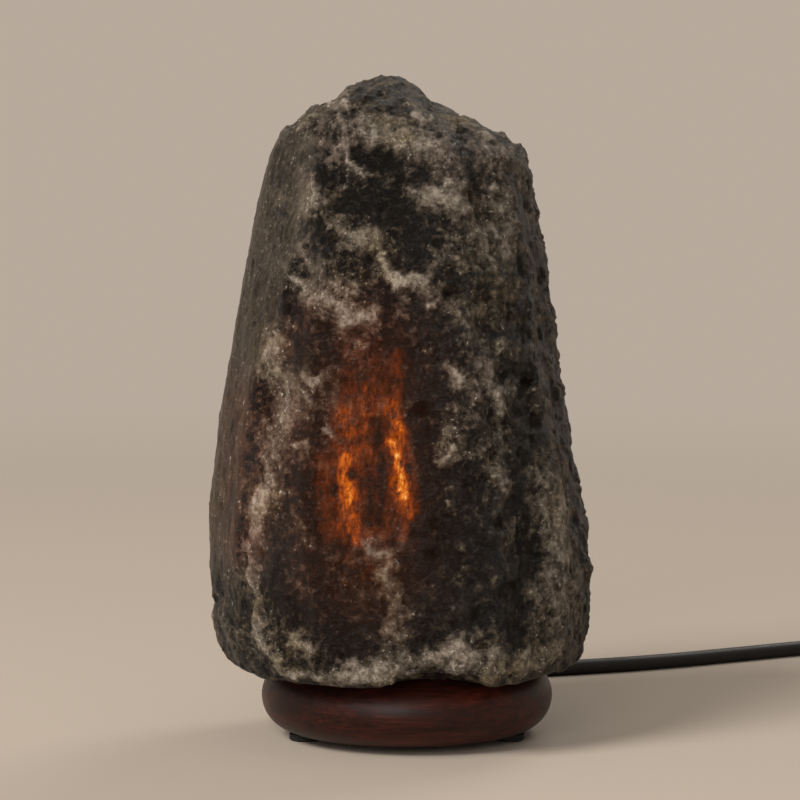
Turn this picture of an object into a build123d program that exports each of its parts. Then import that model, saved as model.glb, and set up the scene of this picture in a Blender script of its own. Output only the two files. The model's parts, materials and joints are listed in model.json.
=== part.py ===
from build123d import *

import os
from math import cos, pi, radians, sin, sqrt, tan

# A salt crystal lamp: a rough block of dark rock salt on a turned wooden base, lit from a
# bore in its underside. Millimetres. The origin is on the axis of the wooden base, at the
# level of the table, +Z is up and the front of the lamp looks along -Y.

# ---------------------------------------------------------------- driving dimensions

# wooden base
BASE_RADIUS = 55.0             # widest, at the belly of the rounded rim
BASE_LOWER_ROUND = 13.0
BASE_UPPER_ROUND = 12.0
BASE_HOLE_RADIUS = 22.0        # the lamp holder goes up through it
BASE_HOLE_CHAMFER = 1.5
FOOT_RADIUS = 6.0
FOOT_HEIGHT = 2.5
FOOT_CHAMFER = 0.5
FOOT_INSET = 1.5               # their middles inside the edge of the wood's flat underside
FOOT_ANGLES = (60, 120, 200, 340)

# salt crystal
SALT_HEIGHT = 219.5            # from its flat underside to its tip
SALT_BORE_RADIUS = 25.0
SALT_BORE_DEPTH = 130.0
SALT_BORE_TIP = 9.0            # cone left by the drill
HOLLOW_ROWS = 7                # of shallow hollows, where rounder flakes came away
HOLLOWS_PER_ROW = 12
HOLLOW_RADIUS = 42.0           # of the ball that fits such a hollow
HOLLOW_DEPTH = 2.4             # at the front and back; the sides were worn smooth
LEAST_HOLLOW = 1.0             # a shallower one has worn away
ARCH_RADIUS = 36.0             # of the ball that fits the gap over the base's front edge
ARCH_CENTRE = (10.0, -63.2, -30.5)   # its place, from the middle of the rock's underside

# screws from the base up into the salt
SCREW_OUTSIDE_BORE = 9.0       # from the wall of the salt's bore to their middles
SCREW_ANGLES = (30, 150, 270)
SCREW_SHANK_RADIUS = 2.0
SCREW_HEAD_RADIUS = 4.0
SCREW_HEAD_HEIGHT = 2.6
SCREW_LENGTH = 32.0
SCREW_RECESS = 10.0            # depth of the head below the wood's underside
PLUG_RADIUS = 4.0
PLUG_LENGTH = 24.0

# lamp holder and its spring clip
HOLDER_HEIGHT = 46.0
HOLDER_CAP_HEIGHT = 17.0
HOLDER_RADIUS = 14.0
HOLDER_WALL = 2.0
HOLDER_CLEARANCE_ABOVE_BASE = 2.5   # underside of the cap above the wood's top
HOLDER_RIM = 3.0
INSERT_THICKNESS = 6.0
SHELL_WALL = 0.4
SHELL_EYE_RADIUS = 4.5         # hole in its floor, round the centre contact
TONGUE_LENGTH = 7.0
TONGUE_WIDTH = 4.0
TONGUE_THICKNESS = 0.4
TONGUE_RISE = 2.8
GRIP_NECK_STANDING = 3.0       # how far it stands up inside the cap
GRIP_NECK_RADIUS = 4.6
GRIP_NUT_WIDTH = 16.0          # across flats
GRIP_NUT_HEIGHT = 4.0
CLIP_THICKNESS = 0.8
CLIP_WIDTH = 14.0
CLIP_ROOT_GAP = 2.2            # bend line outside the holder
CLIP_ROOT_LEAN = 0.8
CLIP_ROOT_HEIGHT = 9.0
CLIP_BEND_RADIUS = 1.6
CLIP_REACH_HEIGHT = 30.0       # where the wings press on the bore, above the clip's plate
CLIP_TOP_HEIGHT = 41.0
CLIP_TOP_REACH = 20.5
TERMINAL_HEAD_RADIUS = 2.6
TERMINAL_HEAD_HEIGHT = 2.0
TERMINAL_SHANK_RADIUS = 1.5
TERMINAL_SPACING = 14.0

# candle bulb, small screw cap
BULB_CAP_RADIUS = 6.95
BULB_CAP_LENGTH = 21.0
BULB_CAP_WALL = 0.5
BULB_GLASS_WALL = 0.8
BULB_NECK_RADIUS = 6.4
BULB_CONTACT_RADIUS = 2.4
BULB_CONTACT_HEIGHT = 1.0
BULB_INSULATOR_HEIGHT = 2.2
BULB_NECK_DEPTH = 7.0          # how far the glass goes into the cap
# candle shape of the glass: height above its lower end, outer radius
BULB_GLASS_PROFILE = (
    (0.0, 6.4),
    (8.0, 6.4),
    (18.0, 12.0),
    (29.0, 16.9),
    (38.0, 17.5),
    (49.0, 15.2),
    (62.0, 8.6),
    (72.0, 2.6),
    (75.0, 0.0),
)
STEM_RADIUS = 2.2
STEM_LENGTH = 20.0
FILAMENT_HEIGHT = 34.0         # above the glass's lower end
FILAMENT_SPAN = 15.0
FILAMENT_RADIUS = 0.5
LEAD_WIRE_RADIUS = 0.4

# mains cord
CORD_DIAMETER = 6.4
ARC_SHARE = 0.45               # of the shorter run, taken up by each corner's arc
GROOVE_SIDE_CLEARANCE = 0.7
GROOVE_DEPTH = 8.0
SADDLE_Y = 33.0
SADDLE_LENGTH = 24.0
SADDLE_WIDTH = 7.0
SADDLE_THICKNESS = 1.0
SADDLE_SCREW_SPACING = 16.0
SADDLE_SCREW_RADIUS = 1.2
SADDLE_SCREW_HEAD_RADIUS = 2.4
SADDLE_SCREW_HEAD_HEIGHT = 0.9
SADDLE_SCREW_LENGTH = 8.0

# put-away coil of the cord
COIL_OUTER_RADIUS = 50.0       # centre line of its first turn
COIL_STEP = 8.0                # from turn to turn, sideways
COIL_RISE = 7.8                # from layer to layer
COIL_HALF_TURNS_IN = 6
COIL_HALF_TURNS_OUT = 5
COIL_SIDES = 6
COIL_SECTION_RADIUS = 3.2
COIL_SAMPLES = 900             # points at which the gap between turns is measured
TIE_THICKNESS = 0.8
TIE_WIDTH = 8.0
TIE_SLACK = 0.35

# in-line switch
SWITCH_LENGTH = 60.0
SWITCH_WIDTH = 22.0
SWITCH_HEIGHT = 16.0
SWITCH_SPLIT = 8.0             # height of the joint between its halves
SWITCH_EDGE_ROUND = 2.5
SWITCH_END_ROUND = 6.0
ROCKER_LENGTH = 18.0
ROCKER_WIDTH = 10.0
ROCKER_TILT = 8.0              # either way from level
ROCKER_SIDE_GAP = 0.4
ROCKER_END_GAP = 1.3
ROCKER_PIVOT_HEIGHT = 12.5
ROCKER_PIN_RADIUS = 1.3
ROCKER_PIN_LENGTH = 14.0
SWITCH_CAVITY_LENGTH = 40.0
SWITCH_CAVITY_WIDTH = 14.0
SWITCH_FLOOR = 2.2
ROCKER_HORN = 5.6              # its raised ends above the pivot
ROCKER_SADDLE = 4.4            # its dip above the pivot
ROCKER_DRAFT = 0.8
ROCKER_DEPTH = 3.2
ROCKER_KEEL = 3.0
TERMINAL_BLOCK = (8.0, 5.0, 4.5)
TERMINAL_BLOCK_SPACING = 26.0
SWITCH_SCREW_SPACING = 48.0
SWITCH_SCREW_GRIP = 5.0        # depth of their holes in the upper half

# plug, two round pins
PLUG_BODY_WIDTH = 35.3
PLUG_BODY_THICKNESS = 13.7
PLUG_FRONT_LENGTH = 18.0
PLUG_BODY_LENGTH = 36.0
PLUG_TAIL_SIZE = 11.0
PLUG_EDGE_ROUND = 3.5
PIN_RADIUS = 2.0
PIN_CORE_RADIUS = 1.6          # inside the sleeve
PIN_LENGTH = 19.0
PIN_SLEEVE_LENGTH = 10.0
PIN_SPACING = 18.6

# strain reliefs
RELIEF_LENGTH = 22.0
RELIEF_ROOT_RADIUS = 5.2
RELIEF_TIP_WALL = 0.9
RELIEF_GROOVES = 4
RELIEF_GROOVE_WIDTH = 1.6
RELIEF_GROOVE_DEPTH = 0.8

# clearances
FIT = 0.1                      # pieces that are pushed or screwed together
RUNNING_FIT = 0.08             # a pin that turns in its hole
FREE_GAP = 0.3                 # pieces of different bodies that face each other

# The rock, in hundredths of its height. Its levels: height above its underside, then how far
# it reaches to the left, right, front and back.
SALT_LEVELS = (
    (0.0, -29.8, 28.9, -30.5, 26.4),
    (2.7, -32.1, 30.5, -31.7, 28.2),
    (7.7, -33.3, 31.3, -31.7, 29.4),
    (16.4, -34.2, 31.5, -31.4, 30.3),
    (27.3, -34.3, 30.5, -30.3, 30.3),
    (41.0, -32.5, 27.8, -28.9, 28.2),
    (54.7, -30.1, 25.5, -27.3, 26.0),
    (68.3, -27.6, 24.1, -25.3, 23.9),
    (79.7, -25.5, 22.1, -22.6, 21.2),
    (86.6, -23.7, 20.7, -20.5, 19.1),
    (90.2, -22.1, 17.5, -18.7, 16.9),
    (92.9, -18.7, 10.0, -15.9, 13.7),
    (95.7, -15.9, 5.9, -12.3, 10.0),
)
# Corners of its outline at every level, in shares of that reach, anticlockwise from the left.
SALT_CORNERS = (
    (-1.00, 0.20),
    (-0.98, -0.16),
    (-0.82, -0.60),
    (-0.44, -0.94),
    (0.04, -1.00),
    (0.46, -0.94),
    (0.84, -0.58),
    (1.00, -0.08),
    (0.95, 0.40),
    (0.62, 0.86),
    (0.10, 1.00),
    (-0.42, 0.93),
    (-0.84, 0.62),
)
# The crown, a smaller lump that stands on the shoulders: same columns.
CROWN_LEVELS = (
    (88.4, -13.7, 8.2, -17.3, 3.6),
    (93.4, -13.9, 6.8, -16.4, 4.1),
    (96.1, -12.3, 4.3, -13.2, 3.6),
    (98.4, -9.8, 2.1, -9.6, 2.3),
    (100.0, -5.5, -0.9, -5.5, -0.9),
)
# Heights of the lowest row of hollows and of the step to the next, and how far a hollow may
# lie from its place in the row.
HOLLOW_FOOT = 8.6
HOLLOW_STEP = 12.3
HOLLOW_DRIFT = 3.6
# Flats left where flakes broke off: a point on each flat, and the way it faces.
SALT_CHIPS = (
    ((-6.4, -24.1, 68.6), (-0.12, -0.95, 0.27)),
    ((-11.8, -28.2, 42.1), (-0.24, -0.96, 0.10)),
    ((2.7, -29.6, 23.0), (0.10, -0.99, -0.02)),
    ((-13.7, -30.1, 11.2), (-0.26, -0.94, -0.20)),
    ((15.5, -24.1, 55.8), (0.42, -0.88, 0.20)),
    ((21.4, -22.8, 15.7), (0.62, -0.78, -0.06)),
    ((-25.5, -21.4, 17.5), (-0.76, -0.64, -0.08)),
    ((-23.7, -17.3, 55.8), (-0.80, -0.54, 0.24)),
    ((26.7, -16.9, 6.6), (0.80, -0.46, -0.38)),
    ((-28.2, -22.3, 3.9), (-0.60, -0.56, -0.58)),
    ((7.3, -21.9, 85.0), (0.34, -0.72, 0.60)),
    ((19.1, -6.4, 86.3), (0.70, -0.22, 0.68)),
    ((19.1, -15.5, 76.8), (0.66, -0.66, 0.36)),
    ((-20.0, -11.8, 89.5), (-0.56, -0.46, 0.69)),
    ((21.9, 17.3, 42.1), (0.76, 0.64, 0.12)),
    ((-23.7, 20.0, 37.6), (-0.70, 0.70, 0.14)),
    ((1.8, 26.2, 46.7), (0.08, 0.98, 0.16)),
    ((-9.1, 27.6, 19.4), (-0.30, 0.95, -0.06)),
    ((9.1, 15.5, 85.0), (0.20, 0.70, 0.69)),
    ((-13.7, 14.6, 88.6), (-0.40, 0.56, 0.72)),
    ((10.9, 26.9, 6.6), (0.30, 0.90, -0.30)),
    ((29.6, 5.5, 28.5), (0.97, 0.16, 0.16)),
    ((-33.3, 7.3, 19.4), (-0.97, 0.20, -0.10)),
)
# Routes of the cord, chosen by hand along its centre line.
INSIDE_ROUTE = (
    (0.0, 0.0, 33.0),
    (0.0, 0.0, 19.5),
    (0.0, 5.5, 11.0),
    (0.0, 15.0, 6.7),
    (0.0, 33.0, 5.85),
    (0.0, 56.0, 5.65),
)
LEAD_ROUTE = (
    (0.0, 56.0, 5.65),
    (0.0, 71.0, 5.52),
    (3.5, 89.0, 3.25),
    (14.0, 109.5, 3.25),
    (37.0, 128.0, 3.25),
    (70.0, 137.6, 3.25),
    (108.0, 153.0, 3.25),
    (143.0, 173.6, 3.25),
    (171.0, 190.6, 3.25),
    (190.0, 199.0, 3.6),
    (209.0, 200.5, 8.0),
    (226.0, 196.5, 8.0),
)
TAIL_ROUTE = (
    (327.24, 172.68, 8.0),
    (342.81, 169.02, 8.0),
    (354.5, 159.8, 6.0),
    (360.2, 146.5, 3.8),
    (361.0, 124.0, 4.4),
    (361.0, 106.4, 4.4),
)
END_ROUTE = (
    (357.0, 93.6, 12.2),
    (357.0, 75.4, 12.2),
    (356.6, 54.4, 6.9),
    (356.0, 36.4, 6.9),
)

# ---------------------------------------------------------------- worked out from them

CORD_RADIUS = CORD_DIAMETER / 2
BASE_UNDERSIDE = FOOT_HEIGHT
BASE_TOP = FOOT_HEIGHT + BASE_LOWER_ROUND + BASE_UPPER_ROUND
BASE_FLAT_RADIUS = BASE_RADIUS - BASE_LOWER_ROUND
BASE_TOP_RADIUS = BASE_RADIUS - BASE_UPPER_ROUND
BASE_BELLY = BASE_UNDERSIDE + BASE_LOWER_ROUND
FOOT_CIRCLE = BASE_FLAT_RADIUS - FOOT_INSET
SCREW_CIRCLE = SALT_BORE_RADIUS + SCREW_OUTSIDE_BORE
SALT_UNIT = SALT_HEIGHT / 100
SALT_BORE_TOP = BASE_TOP + SALT_BORE_DEPTH
HOLDER_FLOOR = BASE_TOP + HOLDER_CLEARANCE_ABOVE_BASE
CAP_TOP = HOLDER_FLOOR + HOLDER_CAP_HEIGHT
INSERT_TOP = CAP_TOP + INSERT_THICKNESS
HOLDER_TOP = HOLDER_FLOOR + HOLDER_HEIGHT
SHELL_INNER_RADIUS = BULB_CAP_RADIUS + FREE_GAP
SHELL_OUTER_RADIUS = SHELL_INNER_RADIUS + SHELL_WALL
SCREW_HEAD_Z = BASE_UNDERSIDE + SCREW_RECESS
CLIP_TOP = HOLDER_FLOOR
CLIP_BOTTOM = CLIP_TOP - CLIP_THICKNESS
BULB_FOOT = INSERT_TOP + TONGUE_RISE + FREE_GAP
BULB_CAP_FOOT = BULB_FOOT + BULB_CONTACT_HEIGHT + BULB_INSULATOR_HEIGHT
GLASS_FOOT = BULB_CAP_FOOT + BULB_CAP_LENGTH - BULB_NECK_DEPTH
saddle_screw_places = [(side * SADDLE_SCREW_SPACING / 2, SADDLE_Y) for side in (-1, 1)]


def away(start, toward):
    """Unit vector from one point of a route to the next."""
    return (Vector(*toward) - Vector(*start)).normalized()


def ring(radius, angles):
    """Places on a circle about the lamp's axis."""
    return [(radius * cos(radians(a)), radius * sin(radians(a))) for a in angles]


def upright(place, height):
    """Vertical plane through a place, its own X along +X and its Y up."""
    return Plane(origin=(*place, height), x_dir=(1, 0, 0), z_dir=(0, -1, 0))


def square_to(frame, distance):
    """Plane across a frame's X axis, a distance along it; its own X is across, its Y is up."""
    at = frame.from_local_coords((distance, 0, 0))
    return Plane(origin=at, x_dir=frame.y_dir, z_dir=frame.x_dir)


def square_across(frame, height, tilt=0.0):
    """Plane along a frame's X axis, standing up; its own X is along and may be tilted up."""
    at = frame.from_local_coords((0, 0, height))
    along = frame.x_dir * cos(radians(tilt)) + frame.z_dir * sin(radians(tilt))
    return Plane(origin=at, x_dir=along, z_dir=-frame.y_dir)


def screws(places, seat, head, shank, point=0.0):
    """Screws with their heads down. seat is the level where the heads bear; head and shank are
    each a radius and a length, and point is the length of the shank's cone."""
    head_radius, head_height = head
    shank_radius, shank_length = shank
    with BuildPart() as made:
        for place in places:
            with BuildSketch(upright(place, seat)):
                with BuildLine():
                    Polyline(
                        (0, -head_height),
                        (head_radius, -head_height),
                        (head_radius, 0),
                        (shank_radius, 0),
                        (shank_radius, shank_length - point),
                        (0, shank_length),
                        close=True,
                    )
                make_face()
            revolve(axis=Axis((*place, 0), (0, 0, 1)))
    return made


# ---------------------------------------------------------------- salt crystal


def outline(level):
    """Corners of one of the rock's levels, on the plane of its height."""
    _, left, right, front, back = [SALT_UNIT * reach for reach in level]
    middle = ((left + right) / 2, (front + back) / 2)
    half = ((right - left) / 2, (back - front) / 2)
    return [(middle[0] + u * half[0], middle[1] + v * half[1]) for u, v in SALT_CORNERS]


def hollows(rock):
    """Middles of the balls that fit the hollows, as planes that face away from the rock."""
    balls = []
    for row in range(HOLLOW_ROWS):
        for column in range(HOLLOWS_PER_ROW):
            sway = sin(2.3 * column + 1.7 * row)
            turn = 2 * pi * (column + row / 2 + sway / 4) / HOLLOWS_PER_ROW
            depth = HOLLOW_DEPTH * abs(sin(turn)) * (1 + sin(3.1 * column + row) / 4)
            height = HOLLOW_FOOT + row * HOLLOW_STEP + HOLLOW_DRIFT * sin(1.9 * column + 2.7 * row)
            ray = Axis((0, 0, BASE_TOP + SALT_UNIT * height), (cos(turn), sin(turn), 0))
            hits = [hit for hit in rock.find_intersection_points(ray) if hit[0].dot(ray.direction) > 0]
            if depth < LEAST_HOLLOW or not hits:
                continue
            point, normal = hits[-1]
            centre = point + normal * (HOLLOW_RADIUS - depth)
            balls.append(Plane(origin=centre, x_dir=normal, z_dir=normal.cross(Vector(0, 0, 1))))
    return balls


with BuildPart() as salt_crystal:
    for levels in (SALT_LEVELS, CROWN_LEVELS):
        for level in levels:
            with BuildSketch(Plane.XY.offset(BASE_TOP + SALT_UNIT * level[0])):
                with BuildLine():
                    Polyline(*outline(level), close=True)
                make_face()
        loft(ruled=True)
    for point, facing in SALT_CHIPS:
        at = Vector(0, 0, BASE_TOP) + Vector(*point) * SALT_UNIT
        split(bisect_by=Plane(origin=at, z_dir=facing), keep=Keep.BOTTOM)
    with Locations(*hollows(salt_crystal.part)):
        Sphere(HOLLOW_RADIUS, mode=Mode.SUBTRACT)
    with Locations(Vector(0, 0, BASE_TOP) + Vector(*ARCH_CENTRE)):
        Sphere(ARCH_RADIUS, mode=Mode.SUBTRACT)
    # blind bore for the lamp holder and the bulb, with the drill's cone at its end
    with BuildSketch(Plane.XZ):
        with BuildLine():
            Polyline(
                (0, BASE_TOP),
                (SALT_BORE_RADIUS, BASE_TOP),
                (SALT_BORE_RADIUS, SALT_BORE_TOP),
                (0, SALT_BORE_TOP + SALT_BORE_TIP),
                close=True,
            )
        make_face()
    revolve(axis=Axis.Z, mode=Mode.SUBTRACT)
    # holes for the plastic plugs that the base's screws bite into
    with BuildSketch(Plane.XY.offset(BASE_TOP)):
        with Locations(*ring(SCREW_CIRCLE, SCREW_ANGLES)):
            Circle(PLUG_RADIUS + FIT)
    extrude(amount=PLUG_LENGTH + FIT, mode=Mode.SUBTRACT)

# ---------------------------------------------------------------- wooden base

with BuildPart() as wooden_base:
    with BuildSketch(Plane.XZ):
        with BuildLine():
            Line((BASE_HOLE_RADIUS, BASE_UNDERSIDE), (BASE_FLAT_RADIUS, BASE_UNDERSIDE))
            CenterArc((BASE_FLAT_RADIUS, BASE_BELLY), BASE_LOWER_ROUND, -90, 90)
            CenterArc((BASE_TOP_RADIUS, BASE_BELLY), BASE_UPPER_ROUND, 0, 90)
            Line((BASE_TOP_RADIUS, BASE_TOP), (BASE_HOLE_RADIUS, BASE_TOP))
            Line((BASE_HOLE_RADIUS, BASE_TOP), (BASE_HOLE_RADIUS, BASE_UNDERSIDE))
        make_face()
    revolve(axis=Axis.Z)
    hole_edges = wooden_base.edges().filter_by(GeomType.CIRCLE)
    hole_edges = hole_edges.filter_by(lambda edge: abs(edge.radius - BASE_HOLE_RADIUS) < FIT)
    chamfer(hole_edges, BASE_HOLE_CHAMFER)
    # groove that lets the cord out at the back
    groove_half = CORD_RADIUS + GROOVE_SIDE_CLEARANCE
    with BuildSketch(Plane.XZ):
        with Locations((0, BASE_UNDERSIDE + GROOVE_DEPTH - groove_half)):
            Circle(groove_half)
            Rectangle(2 * groove_half, GROOVE_DEPTH, align=(Align.CENTER, Align.MAX))
    extrude(amount=-BASE_RADIUS, mode=Mode.SUBTRACT)
    # counterbored holes for the screws that hold the salt
    with BuildSketch(Plane.XY.offset(BASE_UNDERSIDE)):
        with Locations(*ring(SCREW_CIRCLE, SCREW_ANGLES)):
            Circle(SCREW_HEAD_RADIUS + FREE_GAP)
    extrude(amount=SCREW_RECESS, mode=Mode.SUBTRACT)
    with BuildSketch(Plane.XY.offset(BASE_UNDERSIDE)):
        with Locations(*ring(SCREW_CIRCLE, SCREW_ANGLES)):
            Circle(SCREW_SHANK_RADIUS + FREE_GAP)
    extrude(amount=BASE_TOP - BASE_UNDERSIDE, mode=Mode.SUBTRACT)
    with BuildSketch(Plane.XY.offset(BASE_UNDERSIDE)):
        with Locations(*saddle_screw_places):
            Circle(SADDLE_SCREW_RADIUS + FIT)
    extrude(amount=SADDLE_SCREW_LENGTH, mode=Mode.SUBTRACT)

rubber_feet = []
for number, place in enumerate(ring(FOOT_CIRCLE, FOOT_ANGLES), start=1):
    with BuildPart() as rubber_foot:
        with BuildSketch(Plane(origin=(*place, 0))):
            Circle(FOOT_RADIUS)
        extrude(amount=FOOT_HEIGHT)
        chamfer(rubber_foot.edges().group_by(Axis.Z)[0], FOOT_CHAMFER)
    rubber_foot.part.label = f"rubber_foot_{number}"
    rubber_feet.append(rubber_foot)

base_screws = screws(
    ring(SCREW_CIRCLE, SCREW_ANGLES),
    SCREW_HEAD_Z,
    head=(SCREW_HEAD_RADIUS, SCREW_HEAD_HEIGHT),
    shank=(SCREW_SHANK_RADIUS, SCREW_LENGTH),
    point=2 * SCREW_SHANK_RADIUS,
)

with BuildPart() as screw_plugs:
    with BuildSketch(Plane.XY.offset(BASE_TOP)):
        with Locations(*ring(SCREW_CIRCLE, SCREW_ANGLES)):
            Circle(PLUG_RADIUS)
            Circle(SCREW_SHANK_RADIUS + FIT, mode=Mode.SUBTRACT)
    extrude(amount=PLUG_LENGTH)

# ---------------------------------------------------------------- lamp holder

cap_inner_radius = HOLDER_RADIUS - HOLDER_RIM
with BuildPart() as holder_cap:
    with BuildSketch(Plane.XZ):
        with BuildLine():
            Polyline(
                (GRIP_NECK_RADIUS + FIT, HOLDER_FLOOR),
                (HOLDER_RADIUS - HOLDER_RIM, HOLDER_FLOOR),
                (HOLDER_RADIUS, HOLDER_FLOOR + HOLDER_RIM),
                (HOLDER_RADIUS, CAP_TOP),
                (cap_inner_radius, CAP_TOP),
                (cap_inner_radius, HOLDER_FLOOR + HOLDER_WALL),
                (GRIP_NECK_RADIUS + FIT, HOLDER_FLOOR + HOLDER_WALL),
                close=True,
            )
        make_face()
    revolve(axis=Axis.Z)

terminal_places = [(side * TERMINAL_SPACING / 2, 0) for side in (-1, 1)]
with BuildPart() as holder_insert:
    with BuildSketch(Plane.XY.offset(CAP_TOP)):
        Circle(HOLDER_RADIUS - HOLDER_WALL - FIT)
        with Locations(*terminal_places):
            Circle(TERMINAL_SHANK_RADIUS + FIT, mode=Mode.SUBTRACT)
    extrude(amount=INSERT_THICKNESS)

terminal_screws = screws(
    terminal_places,
    CAP_TOP,
    head=(TERMINAL_HEAD_RADIUS, TERMINAL_HEAD_HEIGHT),
    shank=(TERMINAL_SHANK_RADIUS, INSERT_THICKNESS - TERMINAL_SHANK_RADIUS),
)

with BuildPart() as holder_body:
    with BuildSketch(Plane.XZ):
        with BuildLine():
            Polyline(
                (HOLDER_RADIUS - HOLDER_WALL, CAP_TOP),
                (HOLDER_RADIUS, CAP_TOP),
                (HOLDER_RADIUS, INSERT_TOP + HOLDER_RIM),
                (HOLDER_RADIUS - HOLDER_WALL, INSERT_TOP + 2 * HOLDER_RIM),
                (HOLDER_RADIUS - HOLDER_WALL, HOLDER_TOP),
                (SHELL_OUTER_RADIUS + FIT, HOLDER_TOP),
                (SHELL_OUTER_RADIUS + FIT, INSERT_TOP),
                (HOLDER_RADIUS - HOLDER_WALL, INSERT_TOP),
                close=True,
            )
        make_face()
    revolve(axis=Axis.Z)

with BuildPart() as threaded_shell:
    with BuildSketch(Plane.XZ):
        with BuildLine():
            Polyline(
                (SHELL_EYE_RADIUS, INSERT_TOP),
                (SHELL_OUTER_RADIUS, INSERT_TOP),
                (SHELL_OUTER_RADIUS, HOLDER_TOP - HOLDER_WALL),
                (SHELL_INNER_RADIUS, HOLDER_TOP - HOLDER_WALL),
                (SHELL_INNER_RADIUS, INSERT_TOP + SHELL_WALL),
                (SHELL_EYE_RADIUS, INSERT_TOP + SHELL_WALL),
                close=True,
            )
        make_face()
    revolve(axis=Axis.Z)

# spring tongue under the bulb's centre contact, folded back over itself
with BuildPart() as centre_contact:
    with BuildSketch(Plane.XZ):
        with BuildLine() as tongue:
            FilletPolyline(
                (-TONGUE_LENGTH / 2, INSERT_TOP + TONGUE_THICKNESS / 2),
                (TONGUE_LENGTH / 2, INSERT_TOP + TONGUE_THICKNESS / 2),
                (TONGUE_LENGTH / 4, INSERT_TOP + TONGUE_RISE - TONGUE_THICKNESS / 2),
                (-TONGUE_LENGTH / 4, INSERT_TOP + TONGUE_RISE - TONGUE_THICKNESS / 2),
                radius=TONGUE_THICKNESS,
            )
        trace(tongue.line, TONGUE_THICKNESS)
    extrude(amount=TONGUE_WIDTH / 2, both=True)

# two sprung wings that hold the lamp holder in the bore
with BuildPart() as spring_clip:
    plate_level = CLIP_TOP - CLIP_THICKNESS / 2
    wing_reach = sqrt((SALT_BORE_RADIUS - FREE_GAP) ** 2 - (CLIP_WIDTH / 2) ** 2) - CLIP_THICKNESS / 2
    wing_root = HOLDER_RADIUS + CLIP_ROOT_GAP
    wing = (
        (wing_root, plate_level),
        (wing_root + CLIP_ROOT_LEAN, plate_level + CLIP_ROOT_HEIGHT),
        (wing_reach, plate_level + CLIP_REACH_HEIGHT),
        (CLIP_TOP_REACH, plate_level + CLIP_TOP_HEIGHT),
    )
    with BuildSketch(Plane.XZ):
        with BuildLine() as strip:
            FilletPolyline(
                *[(-x, z) for x, z in reversed(wing)],
                *wing,
                radius=CLIP_BEND_RADIUS,
            )
        trace(strip.line, CLIP_THICKNESS)
    extrude(amount=CLIP_WIDTH / 2, both=True)
    with BuildSketch(Plane.XY.offset(CLIP_BOTTOM)):
        Circle(GRIP_NECK_RADIUS + FIT)
    extrude(amount=CLIP_THICKNESS, mode=Mode.SUBTRACT)

# hollow nut that clamps the clip to the cap and lets the cord in
with BuildPart() as cord_grip:
    with BuildSketch(Plane.XY.offset(CLIP_BOTTOM - GRIP_NUT_HEIGHT)):
        RegularPolygon(GRIP_NUT_WIDTH / 2, 6, major_radius=False)
    extrude(amount=GRIP_NUT_HEIGHT)
    with BuildSketch(Plane.XY.offset(CLIP_BOTTOM)):
        Circle(GRIP_NECK_RADIUS)
    extrude(amount=CLIP_THICKNESS + HOLDER_WALL + GRIP_NECK_STANDING)
    with BuildSketch(Plane.XY.offset(CLIP_BOTTOM - GRIP_NUT_HEIGHT)):
        Circle(CORD_RADIUS + FIT)
    extrude(amount=HOLDER_HEIGHT / 2, mode=Mode.SUBTRACT)

# ---------------------------------------------------------------- bulb

with BuildPart() as bulb_contact:
    with BuildSketch(Plane.XZ):
        with BuildLine():
            Polyline(
                (0, BULB_FOOT),
                (BULB_CONTACT_RADIUS / 2, BULB_FOOT),
                (BULB_CONTACT_RADIUS, BULB_FOOT + BULB_CONTACT_HEIGHT),
                (0, BULB_FOOT + BULB_CONTACT_HEIGHT),
                close=True,
            )
        make_face()
    revolve(axis=Axis.Z)

with BuildPart() as bulb_insulator:
    with BuildSketch(Plane.XZ):
        with BuildLine():
            Polyline(
                (0, BULB_FOOT + BULB_CONTACT_HEIGHT),
                (BULB_CONTACT_RADIUS, BULB_FOOT + BULB_CONTACT_HEIGHT),
                (BULB_CAP_RADIUS - BULB_CAP_WALL, BULB_CAP_FOOT),
                (0, BULB_CAP_FOOT),
                close=True,
            )
        make_face()
    revolve(axis=Axis.Z)

with BuildPart() as bulb_cap:
    with BuildSketch(Plane.XY.offset(BULB_CAP_FOOT)):
        Circle(BULB_CAP_RADIUS)
        Circle(BULB_NECK_RADIUS + FIT, mode=Mode.SUBTRACT)
    extrude(amount=BULB_CAP_LENGTH)

# candle-shaped envelope, open at its neck where the stem closes it
glass_outside = [(radius, GLASS_FOOT + height) for height, radius in BULB_GLASS_PROFILE]
glass_inside = [(radius - BULB_GLASS_WALL, z) for radius, z in glass_outside[:-1]]
glass_inside.append((0, glass_outside[-1][1] - 2 * BULB_GLASS_WALL))
with BuildPart() as bulb_glass:
    with BuildSketch(Plane.XZ):
        with BuildLine():
            Polyline(*glass_outside, *reversed(glass_inside), close=True)
        make_face()
    revolve(axis=Axis.Z)

with BuildPart() as bulb_stem:
    with BuildSketch(Plane.XZ):
        with BuildLine():
            Polyline(
                (0, GLASS_FOOT),
                (BULB_NECK_RADIUS - BULB_GLASS_WALL, GLASS_FOOT),
                (BULB_NECK_RADIUS - BULB_GLASS_WALL, GLASS_FOOT + BULB_GLASS_WALL),
                (STEM_RADIUS, GLASS_FOOT + 2 * STEM_RADIUS),
                (STEM_RADIUS, GLASS_FOOT + STEM_LENGTH),
                (0, GLASS_FOOT + STEM_LENGTH),
                close=True,
            )
        make_face()
    revolve(axis=Axis.Z)

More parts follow.
